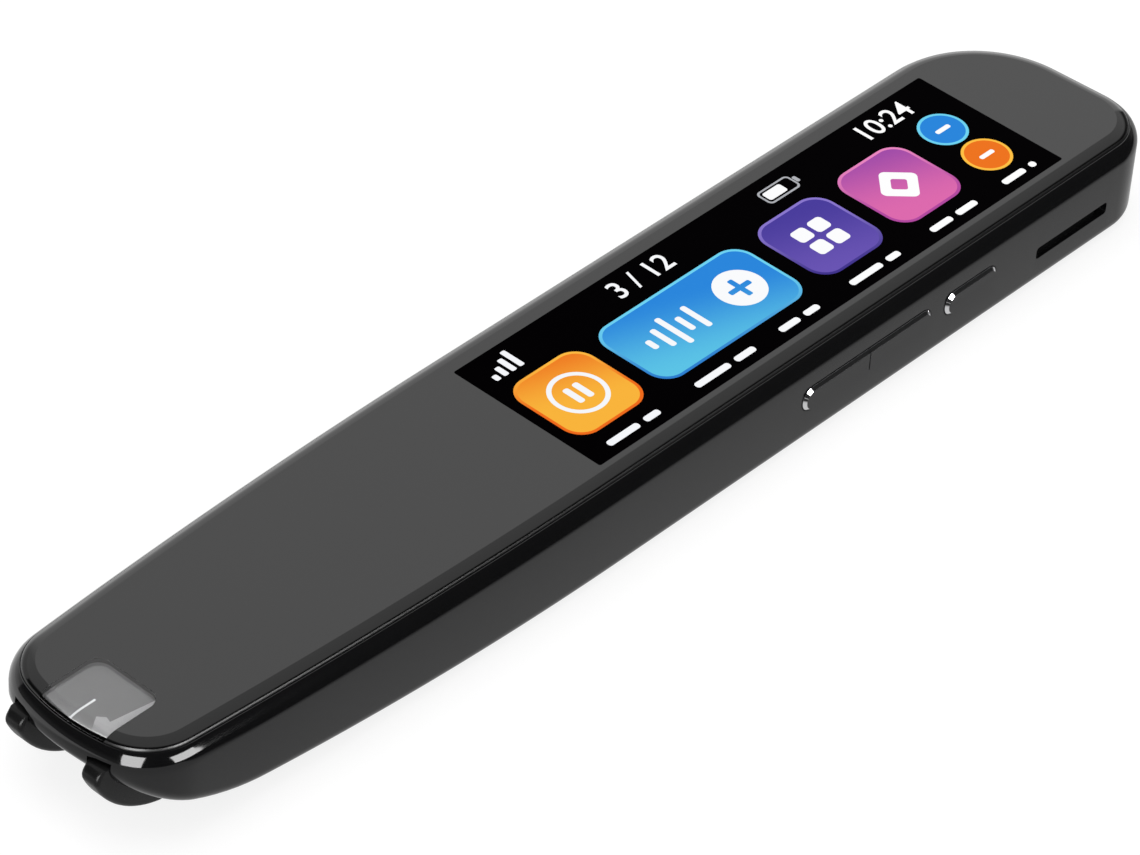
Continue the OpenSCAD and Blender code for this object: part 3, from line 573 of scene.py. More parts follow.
# ---- Side keys ----
def key_piece(name, ends, flat_low=False, flat_high=False):
    """A pill with a bevelled rim, cut flat where it meets its neighbour."""
    low, high = ends
    x0 = low - 2 * KEY_R if flat_low else low
    x1 = high + 2 * KEY_R if flat_high else high
    inner_y = KEY_FLANGE_Y + KEY_FLANGE_T
    key = bar(name, (x0, KEY_FACE, KEY_Z - KEY_R), (x1, inner_y, KEY_Z + KEY_R), 1, KEY_R, 18)
    if flat_low:
        cut_flat(key, low, True)
    if flat_high:
        cut_flat(key, high, False)
    cuts = [x * MM for x, flat in ((low, flat_low), (high, flat_high)) if flat]
    soften(key, lambda edge: all(v.co.y < (KEY_FACE + 0.01) * MM for v in edge.verts)
           and len(edge.link_faces) == 2
           and min(f.normal.y for f in edge.link_faces) < -0.9
           and max(f.normal.y for f in edge.link_faces) > -0.1
           and not any(all(abs(v.co.x - x) < 0.00001 for v in edge.verts) for x in cuts),
           KEY_BEVEL, 1)
    flange_x0 = low if flat_low else low - KEY_LIP
    flange_x1 = high if flat_high else high + KEY_LIP
    flange = bar(name + "_flange", (flange_x0, KEY_FLANGE_Y, KEY_Z - KEY_R - KEY_LIP),
                 (flange_x1, inner_y, KEY_Z + KEY_R + KEY_LIP), 1, 0.3, 4)
    lay_down()
    middle = at((low + high) / 2, KEY_FLANGE_Y + KEY_NUB_LENGTH / 2, KEY_Z)
    bpy.ops.mesh.primitive_cylinder_add(vertices=32, radius=KEY_NUB_R * MM,
                                        depth=KEY_NUB_LENGTH * MM, location=middle,
                                        rotation=(math.pi / 2, 0, 0))
    nub = settle(added(name + "_nub"))
    nub_tip = KEY_FLANGE_Y + KEY_NUB_LENGTH - 0.1
    soften(nub, lambda edge: all(v.co.y > nub_tip * MM for v in edge.verts)
           and len(edge.link_faces) == 2, 0.1, 2)
    join(key, flange, nub)
    return smooth(key, 30)


def cut_flat(obj, x, keep_high):
    edit(obj)
    bpy.ops.mesh.select_all(action="SELECT")
    bpy.ops.mesh.bisect(plane_co=at(x, 0, 0), plane_no=(1, 0, 0), use_fill=True,
                        clear_inner=keep_high, clear_outer=not keep_high)
    lay_down()


# ---- Scan tip ----
def pad_edge(steps, end_steps):
    """Side view of a pad: a long sliding arc with rounded ends, and a root that slants back."""
    reach = PAD_ARC_R - PAD_END_R
    hub = PAD_ARC_R - PAD_PROUD
    front = math.asin((PAD_FRONT - PAD_END_R) / reach)
    rear = math.asin((PAD_REAR - PAD_END_R) / reach)
    down = -math.pi / 2
    nose = arc((-reach * math.sin(front), hub - reach * math.cos(front)), PAD_END_R,
               -math.pi, down - front, end_steps)
    slide = arc((0, hub), PAD_ARC_R, down - front, down + rear, steps)
    heel = arc((reach * math.sin(rear), hub - reach * math.cos(rear)), PAD_END_R,
               down + rear, 0, end_steps)
    root = [(PAD_REAR, PAD_IN + PAD_ARC_REAR), (PAD_STEP, PAD_IN), (-PAD_FRONT, PAD_IN)]
    return nose + slide[1:-1] + heel + root


def tip_pad(name, side):
    """A fin with a rounded sliding edge, along the tilted way that it moves."""
    edge = pad_edge(26, 8)
    lay_down()
    bpy.ops.mesh.primitive_circle_add(vertices=len(edge), radius=MM, fill_type="NGON")
    pad = added(name)
    for vert, (x, z) in zip(pad.data.vertices, edge):
        vert.co = at(x, -PAD_HALF, z)
    edit(pad, "FACE")
    bpy.ops.mesh.select_all(action="SELECT")
    bpy.ops.mesh.extrude_region_move(TRANSFORM_OT_translate={"value": (0, 2 * PAD_HALF * MM, 0)})
    lay_down()
    turn_out(pad)
    soften(pad, lambda edge: not runs_along(edge, 1)
           and all(v.co.z < (PAD_IN - 0.01) * MM or v.co.x > (PAD_REAR - 0.01) * MM
                   for v in edge.verts), PAD_ROUND, 6)
    pad.matrix_world = pad_frame(side)
    settle(pad)
    return smooth(cut_off_above(pad, PAD_CLIP), 40)


def tip_fork():
    """The crossbar behind the pads, with an arm and a flange for each of them."""
    reach = PAD_Y + FLANGE_OUT
    fork = bar("tip_fork", (FORK_X[0], -reach, FORK_Z[0]), (FORK_X[1], reach, FORK_Z[1]), 2, 0.3, 4)
    for side in (1, -1):
        inner, outer = sorted((side * (PAD_Y + ARM_OUT), side * reach))
        arm = bar("tip_arm", (ARM_X[0], inner, ARM_FOOT), (ARM_X[1], outer, FORK_Z[1]), 0, 0.25, 4)
        low, high = sorted((side * -FLANGE_IN, side * FLANGE_OUT))
        flange = bar("tip_flange", (FLANGE_X[0], low, FLANGE_Z[0]),
                     (FLANGE_X[1], high, FLANGE_Z[1]), 2, 0.3, 4)
        flange.matrix_world = pad_frame(side)
        join(fork, arm, settle(flange))
    return smooth(fork, 40)


# ---- Materials: sums and products of tones become nodes ----
class Tone:
    """A socket of a material, with arithmetic."""

    def __init__(self, paint, socket):
        self.paint = paint
        self.socket = socket

    def __add__(self, other):
        return self.paint.sum("ADD", self, other)

    def __radd__(self, other):
        return self.paint.sum("ADD", other, self)

    def __sub__(self, other):
        return self.paint.sum("SUBTRACT", self, other)

    def __rsub__(self, other):
        return self.paint.sum("SUBTRACT", other, self)

    def __mul__(self, other):
        return self.paint.sum("MULTIPLY", self, other)

    def __rmul__(self, other):
        return self.paint.sum("MULTIPLY", other, self)

    def __truediv__(self, other):
        return self.paint.sum("DIVIDE", self, other)

    def __rtruediv__(self, other):
        return self.paint.sum("DIVIDE", other, self)


class Paint:
    """One material while its nodes are being laid out."""

    def __init__(self, name, world=None):
        self.made = world or bpy.data.materials.new(name)
        self.made.use_nodes = True
        self.tree = self.made.node_tree
        self.tree.nodes.clear()

    def node(self, kind, settings=None, **inputs):
        node = self.tree.nodes.new("ShaderNode" + kind)
        for key, value in (settings or {}).items():
            setattr(node, key, value)
        for key, value in inputs.items():
            self.feed(node.inputs[int(key[1:]) if key[0] == "_" else key.replace("_", " ")], value)
        return node

    def feed(self, socket, value):
        if isinstance(value, Tone):
            self.tree.links.new(value.socket, socket)
        elif isinstance(value, bpy.types.ShaderNode):
            self.tree.links.new(value.outputs[0], socket)
        else:
            socket.default_value = value

    def tone(self, kind, settings=None, out=0, **inputs):
        return Tone(self, self.node(kind, settings, **inputs).outputs[out])

    def sum(self, operation, *values):
        inputs = {"_%d" % i: value for i, value in enumerate(values)}
        return self.tone("Math", {"operation": operation}, **inputs)

    def place(self):
        return self.tone("TexCoord", out="Object")

    def axes(self):
        """The three coordinates in millimetres."""
        split = self.node("SeparateXYZ", Vector=self.place())
        return [Tone(self, out) * 1000 for out in split.outputs]

    def grain(self, scale, detail=3, rough=0.5, stretch=(1, 1, 1)):
        spot = self.tone("Mapping", Vector=self.place(), Scale=stretch)
        return self.tone("TexNoise", Vector=spot, Scale=scale, Detail=detail, Roughness=rough)

    def step(self, value, low, high, first=0, last=1):
        return self.tone("MapRange", {"interpolation_type": "SMOOTHSTEP"}, Value=value,
                         From_Min=low, From_Max=high, To_Min=first, To_Max=last)

    def mix(self, share, first, second):
        return self.tone("Mix", {"data_type": "RGBA"}, out=2, _0=share, _6=first, _7=second)

    def bump(self, height, depth):
        return self.tone("Bump", Height=height, Distance=depth * MM, Strength=1)

    def finish(self, shader):
        self.node("OutputMaterial", _0=shader)
        return self.made

    def surface(self, **inputs):
        return self.finish(self.node("BsdfPrincipled", **inputs))


def grey(value):
    return (value, value, value * 1.02, 1)


def shade(hexes):
    """A colour as the screen shows it, in the values that a shader takes."""
    parts = [int(hexes[i:i + 2], 16) / 255 for i in (0, 2, 4)]
    return tuple(p / 12.92 if p < 0.04045 else ((p + 0.055) / 1.055) ** 2.4 for p in parts) + (1,)


def moulded(name, dark, light, rough, spread_rough=0.05, grain_scale=900, depth=0.004, **more):
    """Moulded plastic: a fine skin texture and a slow change of tone and gloss."""
    paint = Paint(name)
    fine = paint.grain(grain_scale, 4, 0.6)
    slow = paint.grain(60, 2)
    colour = paint.mix(slow, grey(dark), grey(light))
    gloss = rough + (paint.grain(220, 3) - 0.5) * spread_rough
    return paint.surface(Base_Color=colour, Roughness=gloss,
                         Normal=paint.bump(fine, depth), **more)


def metal(name, colour, rough, stretch=(1, 30, 30), depth=0.003, mark=0.3):
    """Metal with the drawn lines of its sheet or the ripple of its casting."""
    paint = Paint(name)
    lines = paint.grain(400, 4, 0.6, stretch)
    slow = paint.grain(90, 3)
    dull = tuple(c * (1 - mark) for c in colour[:3]) + (1,)
    tint = paint.mix(slow * 0.6 + lines * 0.4, dull, colour)
    return paint.surface(Base_Color=tint, Metallic=1, Roughness=rough + (lines - 0.5) * 0.2,
                         Normal=paint.bump(lines, depth))


def circuit_board(name):
    """Green solder mask with raised tracks and pads."""
    paint = Paint(name)
    x, y, _ = paint.axes()
    wave = paint.grain(160, 2, 0.4)
    track = paint.step(paint.sum("PINGPONG", x * 0.7 + y * 0.35 + wave * 3, 0.5), 0.3, 0.36)
    cells = paint.tone("TexVoronoi", {"feature": "F1"}, Vector=paint.place(), Scale=430)
    dot = paint.step(cells, 0.16, 0.2, 1, 0)
    mask = paint.mix(track, (0.012, 0.09, 0.035, 1), (0.03, 0.17, 0.07, 1))
    colour = paint.mix(dot, mask, (0.6, 0.42, 0.16, 1))
    return paint.surface(Base_Color=colour, Metallic=dot * 0.8, Roughness=0.42 - dot * 0.12,
                         Normal=paint.bump(track * 0.5 + dot, 0.03))


def glow(name, low, high, across, start, end):
    """A glowing patch, shading from one colour to another: on the screen it is lit, on the aim line it
    is painted light.
    """
    paint = Paint(name)
    x, y, _ = paint.axes()
    along = x * across[0] + y * across[1] + across[2]
    share = paint.step(along, start, end)
    fine = (paint.grain(2600, 1) - 0.5) * 0.04
    return paint.surface(Base_Color=(0, 0, 0, 1), Specular_IOR_Level=0, Roughness=1,
                         Emission_Color=paint.mix(share + fine, low, high),
                         Emission_Strength=1)


POLISHED = ((0.005, 0.005, 0.0053, 1), (0.0075, 0.0075, 0.008, 1))


def case_finish():
    """Black moulded case: polished, with a skin that only shows close up."""
    paint = Paint("case_black")
    fine = paint.grain(2400, 3, 0.6)
    slow = paint.grain(45, 2)
    smear = paint.grain(120, 4, 0.65, (1, 3, 3))
    colour = paint.mix(slow, *POLISHED)
    return paint.surface(Base_Color=colour, Roughness=0.07 + (smear - 0.5) * 0.02, IOR=1.5,
                         Normal=paint.bump(fine, 0.0002))


def glass_finish():
    """Glass that is black where the print is bonded under it, and clear over the window."""
    paint = Paint("cover_glass")
    x, y, z = paint.axes()
    end, middle, half = CLEAR
    round_x = paint.sum("MAXIMUM", x - (end - WINDOW_R), 0)
    round_y = paint.sum("MAXIMUM", paint.sum("ABSOLUTE", y - middle) - (half - WINDOW_R), 0)
    corner = paint.sum("SQRT", round_x * round_x + round_y * round_y)
    clear = paint.step(corner, WINDOW_R - 0.04, WINDOW_R + 0.04, 1, 0)
    smear = paint.grain(70, 4, 0.6, (1, 2.5, 1))
    slow = paint.grain(40, 2)
    ground = paint.step(z, GLASS_FOOT + 0.2, GLASS_FOOT + 0.3, 0.3, 0)
    black = paint.node("BsdfPrincipled", IOR=1.57, Roughness=0.03 + smear * 0.02 + ground,
                       Base_Color=paint.mix(slow, grey(0.003), grey(0.0045)))
    glass = paint.node("BsdfPrincipled", IOR=1.57, Roughness=0.01 + smear * 0.004,
                       Base_Color=(1, 1, 1, 1), Transmission_Weight=1)
    return paint.finish(paint.node("MixShader", _0=clear, _1=black, _2=glass))


def film_finish():
    """Black print bonded under the glass: it has no gloss of its own."""
    paint = Paint("mask_black")
    slow = paint.grain(40, 2)
    return paint.surface(Base_Color=paint.mix(slow, grey(0.004), grey(0.006)),
                         Specular_IOR_Level=0, Roughness=0.6 + slow * 0.1)


def clear_finish(name, tint, rough):
    paint = Paint(name)
    haze = paint.grain(500, 3)
    return paint.surface(Base_Color=tint, Transmission_Weight=1, IOR=1.49,
                         Roughness=rough + haze * 0.03)


def flex_finish():
    """Amber film with copper tracks under it."""
    paint = Paint("amber_flex")
    x, y, _ = paint.axes()
    lines = paint.step(paint.sum("PINGPONG", y + x * 0.3, 0.22), 0.1, 0.14)
    colour = paint.mix(lines, (0.48, 0.2, 0.035, 1), (0.72, 0.36, 0.09, 1))
    return paint.surface(Base_Color=colour, Roughness=0.38 + lines * 0.1,
                         Normal=paint.bump(lines, 0.02))


def mesh_finish():
    """Woven sound mesh: two sets of threads with dark gaps."""
    paint = Paint("sound_mesh")
    x, _, z = paint.axes()
    warp = paint.sum("PINGPONG", x, 0.12) / 0.12
    weft = paint.sum("PINGPONG", z, 0.12) / 0.12
    thread = paint.sum("MAXIMUM", warp, weft)
    colour = paint.mix(paint.step(thread, 0.3, 0.7), grey(0.004), grey(0.075))
    return paint.surface(Base_Color=colour, Roughness=0.75, Normal=paint.bump(thread, 0.05))


def panel_finish():
    """Dark display module with the faint grid of its back light."""
    paint = Paint("display_module")
    _, y, _ = paint.axes()
    rows = paint.sum("PINGPONG", y, 0.3) / 0.3
    slow = paint.grain(50, 2)
    colour = paint.mix(slow * 0.5 + rows * 0.3, (0.006, 0.006, 0.01, 1), (0.02, 0.02, 0.03, 1))
    return paint.surface(Base_Color=colour, Roughness=0.16 + slow * 0.08,
                         Normal=paint.bump(rows, 0.002))


def tunnel_finish():
    """Light grey moulding, painted lighter deep inside to make up for the shade there, and darker at
    the brim.
    """
    paint = Paint("light_tunnel")
    _, _, z = paint.axes()
    depth = paint.step(z, 9.9, 10.4)
    fine = paint.grain(1500, 3)
    # Painted light: below the brim the grey is lighter, to offset the shade inside the tunnel
    colour = paint.mix(depth, grey(0.82), grey(0.46))
    return paint.surface(Base_Color=colour, Roughness=0.55 + (fine - 0.5) * 0.1,
                         Normal=paint.bump(fine, 0.004))


def pane_finish():
    """Milky pane over the tunnel, with a painted highlight along the tunnel's near ledge and on a
    wedge beside the aim line.
    """
    paint = Paint("milky_pane")
    x, y, _ = paint.axes()
    # Painted highlight: a pale strip along the tunnel's near ledge
    ledge = paint.step(y + (x + 72.6) * 0.16, -3.42, -3.34, 1, 0) * paint.step(x, -73.2, -72.9)
    # The painted highlight beside the aim line is a wedge that starts at its tip and is cut off at a
    # slant
    tip_x, tip_y = x - STUB_TIP[0], y - STUB_TIP[1]
    stub_highlight = paint.step(tip_x * 0.777 + tip_y * 0.63, -0.04, 0.04, 1, 0)
    stub_highlight = stub_highlight * paint.step(tip_x * 0.575 - tip_y * 0.818, -0.04, 0.04)
    stub_highlight = stub_highlight * paint.step(x - y * 0.3, -71.55, -71.45, 1, 0)
    # Both painted highlights together: pale, and a little less clear than the rest of the pane
    painted_highlight = paint.sum("MAXIMUM", ledge, stub_highlight * paint.step(x, -74, -73.4, 0.4, 1))
    cloud = paint.grain(500, 3)
    tone = paint.mix(cloud, grey(0.3), grey(0.335))
    return paint.surface(Base_Color=paint.mix(painted_highlight, tone, grey(0.85)), Roughness=0.5,
                         Specular_IOR_Level=0.2, Alpha=0.82 + painted_highlight * 0.1)


def lamp_finish():
    """Yellowish lit diode."""
    paint = Paint("light_diode")
    patch = paint.grain(900, 2)
    colour = paint.mix(patch, (0.9, 0.8, 0.45, 1), (1, 0.95, 0.75, 1))
    return paint.surface(Base_Color=colour, Roughness=0.3, Emission_Color=colour,
                         Emission_Strength=0.6)


def tape_finish():
    paint = Paint("white_tape")
    weave = paint.grain(1300, 3, 0.5, (1, 6, 1))
    colour = paint.mix(weave, (0.72, 0.7, 0.63, 1), (0.86, 0.85, 0.79, 1))
    return paint.surface(Base_Color=colour, Roughness=0.6 + (weave - 0.5) * 0.1,
                         Normal=paint.bump(weave, 0.01))


def lead_finish():
    """Red and black insulated lead."""
    paint = Paint("battery_lead")
    _, y, _ = paint.axes()
    fine = paint.grain(900, 2)
    colour = paint.mix(paint.step(y, -0.05, 0.05), (0.42, 0.015, 0.012, 1), (0.02, 0.02, 0.02, 1))
    return paint.surface(Base_Color=colour, Roughness=0.42 + fine * 0.08,
                         Normal=paint.bump(fine, 0.004))


def key_finish():
    """Black moulded face inside a plated bevel."""
    paint = Paint("key_black")
    _, y, _ = paint.axes()
    fine = paint.grain(1800, 4, 0.6)
    slow = paint.grain(60, 2)
    plated = paint.step(y, KEY_FACE + 0.01, KEY_FACE + 0.03)
    plated = plated * paint.step(y, KEY_FACE + KEY_BEVEL - 0.03, KEY_FACE + KEY_BEVEL, 1, 0)
    black = paint.mix(slow, *POLISHED)
    return paint.surface(Base_Color=paint.mix(plated, black, grey(0.95)), Metallic=plated,
                         Roughness=0.07 + (fine - 0.5) * 0.02, Normal=paint.bump(fine, 0.0002))


CASE = case_finish()
GLASS = glass_finish()
KEYS = key_finish()
TIP = moulded("tip_satin", 0.008, 0.012, 0.27, 0.06, 1500, 0.003, Specular_IOR_Level=0.2)
STEEL = metal("stamped_steel", (0.6, 0.6, 0.62, 1), 0.3)
FLEX = flex_finish()
BOARD = circuit_board("green_board")
CHIPS = moulded("chip_black", 0.022, 0.034, 0.5, 0.1, 1200, 0.006)
BLACK = moulded("black_moulding", 0.02, 0.03, 0.45, 0.08, 1000, 0.006)

NODE_FINISH = {
    "mask_film": film_finish(),
    "glass_gasket": moulded("foam_gasket", 0.035, 0.055, 0.85, 0.1, 2600, 0.02),
    "display_panel": panel_finish(), "display_flex": FLEX, "key_flex": FLEX,
    "camera_flex": FLEX, "link_flex": FLEX,
    "mid_frame": metal("cast_magnesium", (0.4, 0.4, 0.42, 1), 0.48, (1, 1, 1), 0.01, 0.25),
    "case_screws": STEEL, "tip_guide_pins": STEEL, "key_domes": STEEL, "usb_port": STEEL,
    "processor_shield": STEEL, "tip_springs": STEEL,
    "main_board": BOARD, "tail_board": BOARD, "led_board": BOARD,
    "board_parts": CHIPS, "tip_switch": CHIPS,
    "battery": metal("cell_foil", (0.58, 0.59, 0.61, 1), 0.34, (1, 1, 1), 0.02, 0.2),
    "battery_tape": tape_finish(), "battery_lead": lead_finish(),
    "usb_tongue": BLACK, "speaker": BLACK, "scan_camera": BLACK, "antenna": FLEX,
    "microphone": metal("gold_can", (0.72, 0.53, 0.2, 1), 0.28, (1, 1, 1), 0.004, 0.15),
    "speaker_mesh": mesh_finish(), "sight_tunnel": tunnel_finish(),
    "scan_window": clear_finish("clear_window", (0.93, 0.95, 0.96, 1), 0.02),
    "camera_lens": clear_finish("lens_glass", (0.55, 0.6, 0.75, 1), 0.01),
    "scan_leds": lamp_finish(), "back_shell": CASE, "front_glass": GLASS,
    "power_button": KEYS, "volume_up_key": KEYS, "volume_down_key": KEYS, "scan_tip": TIP,
}
for name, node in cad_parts.items():
    node.data.materials.clear()
    node.data.materials.append(NODE_FINISH[name])

# ---- The pen's visible pieces ----
ROOT = "case"
place(case_skin(), ROOT, "gloss_black", CASE, "back_shell")
place(cover_glass(), ROOT, "cover_glass", GLASS, "front_glass")

volume_split = sum(VOLUME) / 2
place(key_piece("key_volume_low", (VOLUME[0], volume_split - KEY_SPLIT / 2), flat_high=True),
      "volume_down", "key_plastic", KEYS, "volume_down_key")
place(key_piece("key_volume_high", (volume_split + KEY_SPLIT / 2, VOLUME[1]), flat_low=True),
      "volume_up", "key_plastic", KEYS, "volume_up_key")
place(key_piece("key_power", POWER), "power_key", "key_plastic", KEYS, "power_button")

near_pad, far_pad = tip_pad("tip_pad_near", -1), tip_pad("tip_pad_far", 1)
place(near_pad, "tip", "tip_plastic", TIP)
place(far_pad, "tip", "tip_plastic", TIP)
place(tip_fork(), "tip", "tip_plastic", TIP, "scan_tip")

# ---- The lit screen ----
INK = glow("ink_white", shade("f4f6fa"), shade("ffffff"), (1, 0, 0), -20, 60)
DIM = glow("ink_grey", shade("9a9ca2"), shade("b4b6bb"), (1, 0, 0), -20, 60)
NIGHT = glow("screen_black", shade("030203"), shade("050405"), (1, 0, 0), -20, 60)
SKY = glow("tile_sky", shade("5cc4e6"), shade("2b86dc"), (0.35, 1, 0), -5, 8)
SKY_EDGE = glow("edge_sky", shade("2f7fd0"), shade("6fd4f2"), (0.35, 1, 0), -5, 8)
SUN = glow("tile_sun", shade("f9b43c"), shade("ee7421"), (0.35, 1, 0), -5, 5)
SUN_EDGE = glow("edge_sun", shade("ef6a1c"), shade("ffc145"), (0.35, 1, 0), -5, 5)
VIOLET = glow("tile_violet", shade("6a55b4"), shade("4a3d9c"), (0.35, 1, -8), -5, 8)
VIOLET_EDGE = glow("edge_violet", shade("41348c"), shade("8b78cf"), (0.35, 1, -8), -5, 8)
ROSE = glow("tile_rose", shade("dd6aae"), shade("9a4aa8"), (0.35, 1, -15), -5, 8)
ROSE_EDGE = glow("edge_rose", shade("b24aa0"), shade("f08cc4"), (0.35, 1, -15), -5, 8)

# Sizes and middles of what the screen shows
TILE = 10.9
TILE_R = 2.6
TILE_CORE_R = 2.3
TILE_EDGE = 0.35
TILE_Y = -0.9
LABEL_Y = -8.5
LABEL_GAP = 0.9
LABEL_HEIGHT = 0.85
FIGURES_Y = 7.5
FIGURES_HEIGHT = 2.75
CHARGE_Y = 7.4
PLAY_X = -4.6
CARD_X = 14.2
CARD_WIDTH = 22.8
LEVEL_X = 20.3
GRID_X = 33.2
GEM_X = 46.2
DIAL_X = 57.3


def lit(obj, material):
    """A patch of the lit area, which lies a little off the middle of the glass."""
    obj.location = at(*LIT_AT)
    place(settle(obj), ROOT, "display", material)


def tile(name, x, fill, edge, width=TILE):
    """A rounded tile with an edge of its own colour."""
    rim_width = 2 * TILE_EDGE
    lit(plate(name + "_edge", x, TILE_Y, width, TILE, TILE_R, 2), edge)
    lit(plate(name, x, TILE_Y, width - rim_width, TILE - rim_width, TILE_CORE_R, 3), fill)


screen_mid = (SCREEN[0] + SCREEN[1]) / 2
lit(plate("screen", screen_mid, 0, SCREEN[1] - SCREEN[0], 2 * SCREEN[2], 0.25, 1, 4), NIGHT)

# Each tile holds one white motif
tile("tile_play", PLAY_X, SUN, SUN_EDGE)
lit(ring_mark("play_ring", PLAY_X, TILE_Y, 3.3, 0.55, 4), INK)
lit(plate("play_bar_low", PLAY_X - 0.7, TILE_Y, 0.8, 2.7, 0.3, 4), INK)
lit(plate("play_bar_high", PLAY_X + 0.7, TILE_Y, 0.8, 2.7, 0.3, 4), INK)

tile("card_level", CARD_X, SKY, SKY_EDGE, CARD_WIDTH)
for count, tall in enumerate((1.6, 3.4, 5.2, 2.6, 4.2)):
    lit(plate("level_bar_%d" % (count + 1), 6.6 + 1.7 * count, TILE_Y, 0.75, tall, 0.3, 4), INK)
lit(disc("level_disc", LEVEL_X, TILE_Y, 3.0, 4), INK)
lit(plate("level_plus_wide", LEVEL_X, TILE_Y, 3.2, 0.7, 0.2, 5), SKY)
lit(plate("level_plus_tall", LEVEL_X, TILE_Y, 0.7, 3.2, 0.2, 6), SKY)

tile("tile_grid", GRID_X, VIOLET, VIOLET_EDGE)
for count, (dx, dy) in enumerate(((-1.35, -1.35), (1.35, -1.35), (-1.35, 1.35), (1.35, 1.35))):
    lit(plate("grid_square_%d" % (count + 1), GRID_X + dx, TILE_Y + dy, 2.1, 2.1, 0.5, 4), INK)

tile("tile_gem", GEM_X, ROSE, ROSE_EDGE)
lit(turned(plate("gem", GEM_X, TILE_Y, 4.2, 4.2, 0.7, 4), GEM_X, TILE_Y, 45), INK)
lit(turned(plate("gem_core", GEM_X, TILE_Y, 1.8, 1.8, 0.3, 5), GEM_X, TILE_Y, 45), ROSE)

for name, y, fill, edge in (("dial_far", 2.2, SKY, SKY_EDGE), ("dial_near", -4.0, SUN, SUN_EDGE)):
    lit(disc(name + "_edge", DIAL_X, y, 2.85, 2), edge)
    lit(disc(name, DIAL_X, y, 2.5, 3), fill)
    lit(plate(name + "_mark", DIAL_X, y, 2.2, 0.6, 0.25, 4), INK)

lit(digits("clock_digits", "10:24", 53.6, FIGURES_Y, FIGURES_HEIGHT, 2), INK)
lit(digits("count_digits", "3 / 12", CARD_X, FIGURES_Y, FIGURES_HEIGHT, 2), INK)
for count in range(4):
    lit(plate("signal_%d" % (count + 1), -8.9 + 1.15 * count, 6.5 + 0.35 * count, 0.7,
              0.9 + 0.7 * count, 0.2, 2), INK)
lit(plate("charge_case", 36.0, CHARGE_Y, 5.0, 2.4, 0.6, 2), DIM)
lit(plate("charge_hollow", 36.0, CHARGE_Y, 4.5, 1.9, 0.4, 3), NIGHT)
lit(plate("charge_level", 35.4, CHARGE_Y, 2.8, 1.4, 0.3, 4), INK)
lit(plate("charge_tip", 38.85, CHARGE_Y, 0.5, 1.0, 0.2, 2), DIM)

# Under the motifs pairs of bars, a long one and a short one, stand for labels
LABELS = ((PLAY_X, 4.6, 2.2), (9.4, 5.2, 3.0), (21.0, 3.0, 2.2),
          (GRID_X, 5.0, 2.0), (GEM_X, 3.4, 3.2), (DIAL_X, 3.6, 0.9))
for count, (x, long, short) in enumerate(LABELS):
    left = x - (long + short + LABEL_GAP) / 2
    right = left + long + LABEL_GAP
    lit(plate("label_long_%d" % (count + 1), left + long / 2, LABEL_Y, long, LABEL_HEIGHT,
              0.36, 2), INK)
    lit(plate("label_short_%d" % (count + 1), right + short / 2, LABEL_Y, short, LABEL_HEIGHT,
              0.36, 2), INK)

# ---- The sight window at the nose ----
pane = bar("window_pane", *PANE)
soften(pane, lambda edge: runs_along(edge, 2) and edge.verts[0].co.x > -70 * MM, WINDOW_R, 12)
place(pane, ROOT, "clear_plastic", pane_finish())
# The aim line is white print made to glow: its brightness is painted light, not light from the lamps
aim_glow = glow("aim_glow", shade("d8dadc"), shade("e8eaec"), (1, 0, 0), -76, -70)
place(bar("aim_line", *AIM_LINE), ROOT, "clear_plastic", aim_glow)


# ---- Camera, floor, light ----
# The camera's lens and place, and the ways that lie to the right and up in its picture
LENS = 167.27
EYE = (-323.1, -269.1, 353.5)
VIEW_RIGHT = Vector((0.67756, -0.73356, 0.05288))
VIEW_UP = Vector((0.44320, 0.46463, 0.76661))

# Strength of the dull light from all round, and of what the gloss sees
SKY_LEVEL = 0.55
WALL = 1.12
CEILING = 0.66
# The floor as gloss sees it is dimmed to grey: a painted shadow of the pen in its reflections
FLOOR_GLOSS = 0.55


def set_camera():
    view = bpy.data.cameras.new("camera")
    view.lens = LENS
    view.sensor_width = 36
    view.clip_start = 0.02
    view.clip_end = 30
    camera = bpy.data.objects.new("camera", view)
    bpy.context.scene.collection.objects.link(camera)
    turn = Matrix((VIEW_RIGHT, VIEW_UP, VIEW_RIGHT.cross(VIEW_UP))).transposed()
    camera.matrix_world = Matrix.Translation(at(*EYE)) @ turn.to_4x4()
    bpy.context.scene.camera = camera


def seen_rays(paint):
    """1 for rays from the camera, and 1 for rays that a gloss or clear glass sends out."""
    rays = paint.node("LightPath")
    names = ("Is Camera Ray", "Is Glossy Ray", "Is Transmission Ray")
    first, gloss, through = [Tone(paint, rays.outputs[name]) for name in names]
    dull = paint.sum("MINIMUM", Tone(paint, rays.outputs["Diffuse Depth"]), 1)
    return first, paint.sum("MAXIMUM", gloss, through) * (1 - dull)


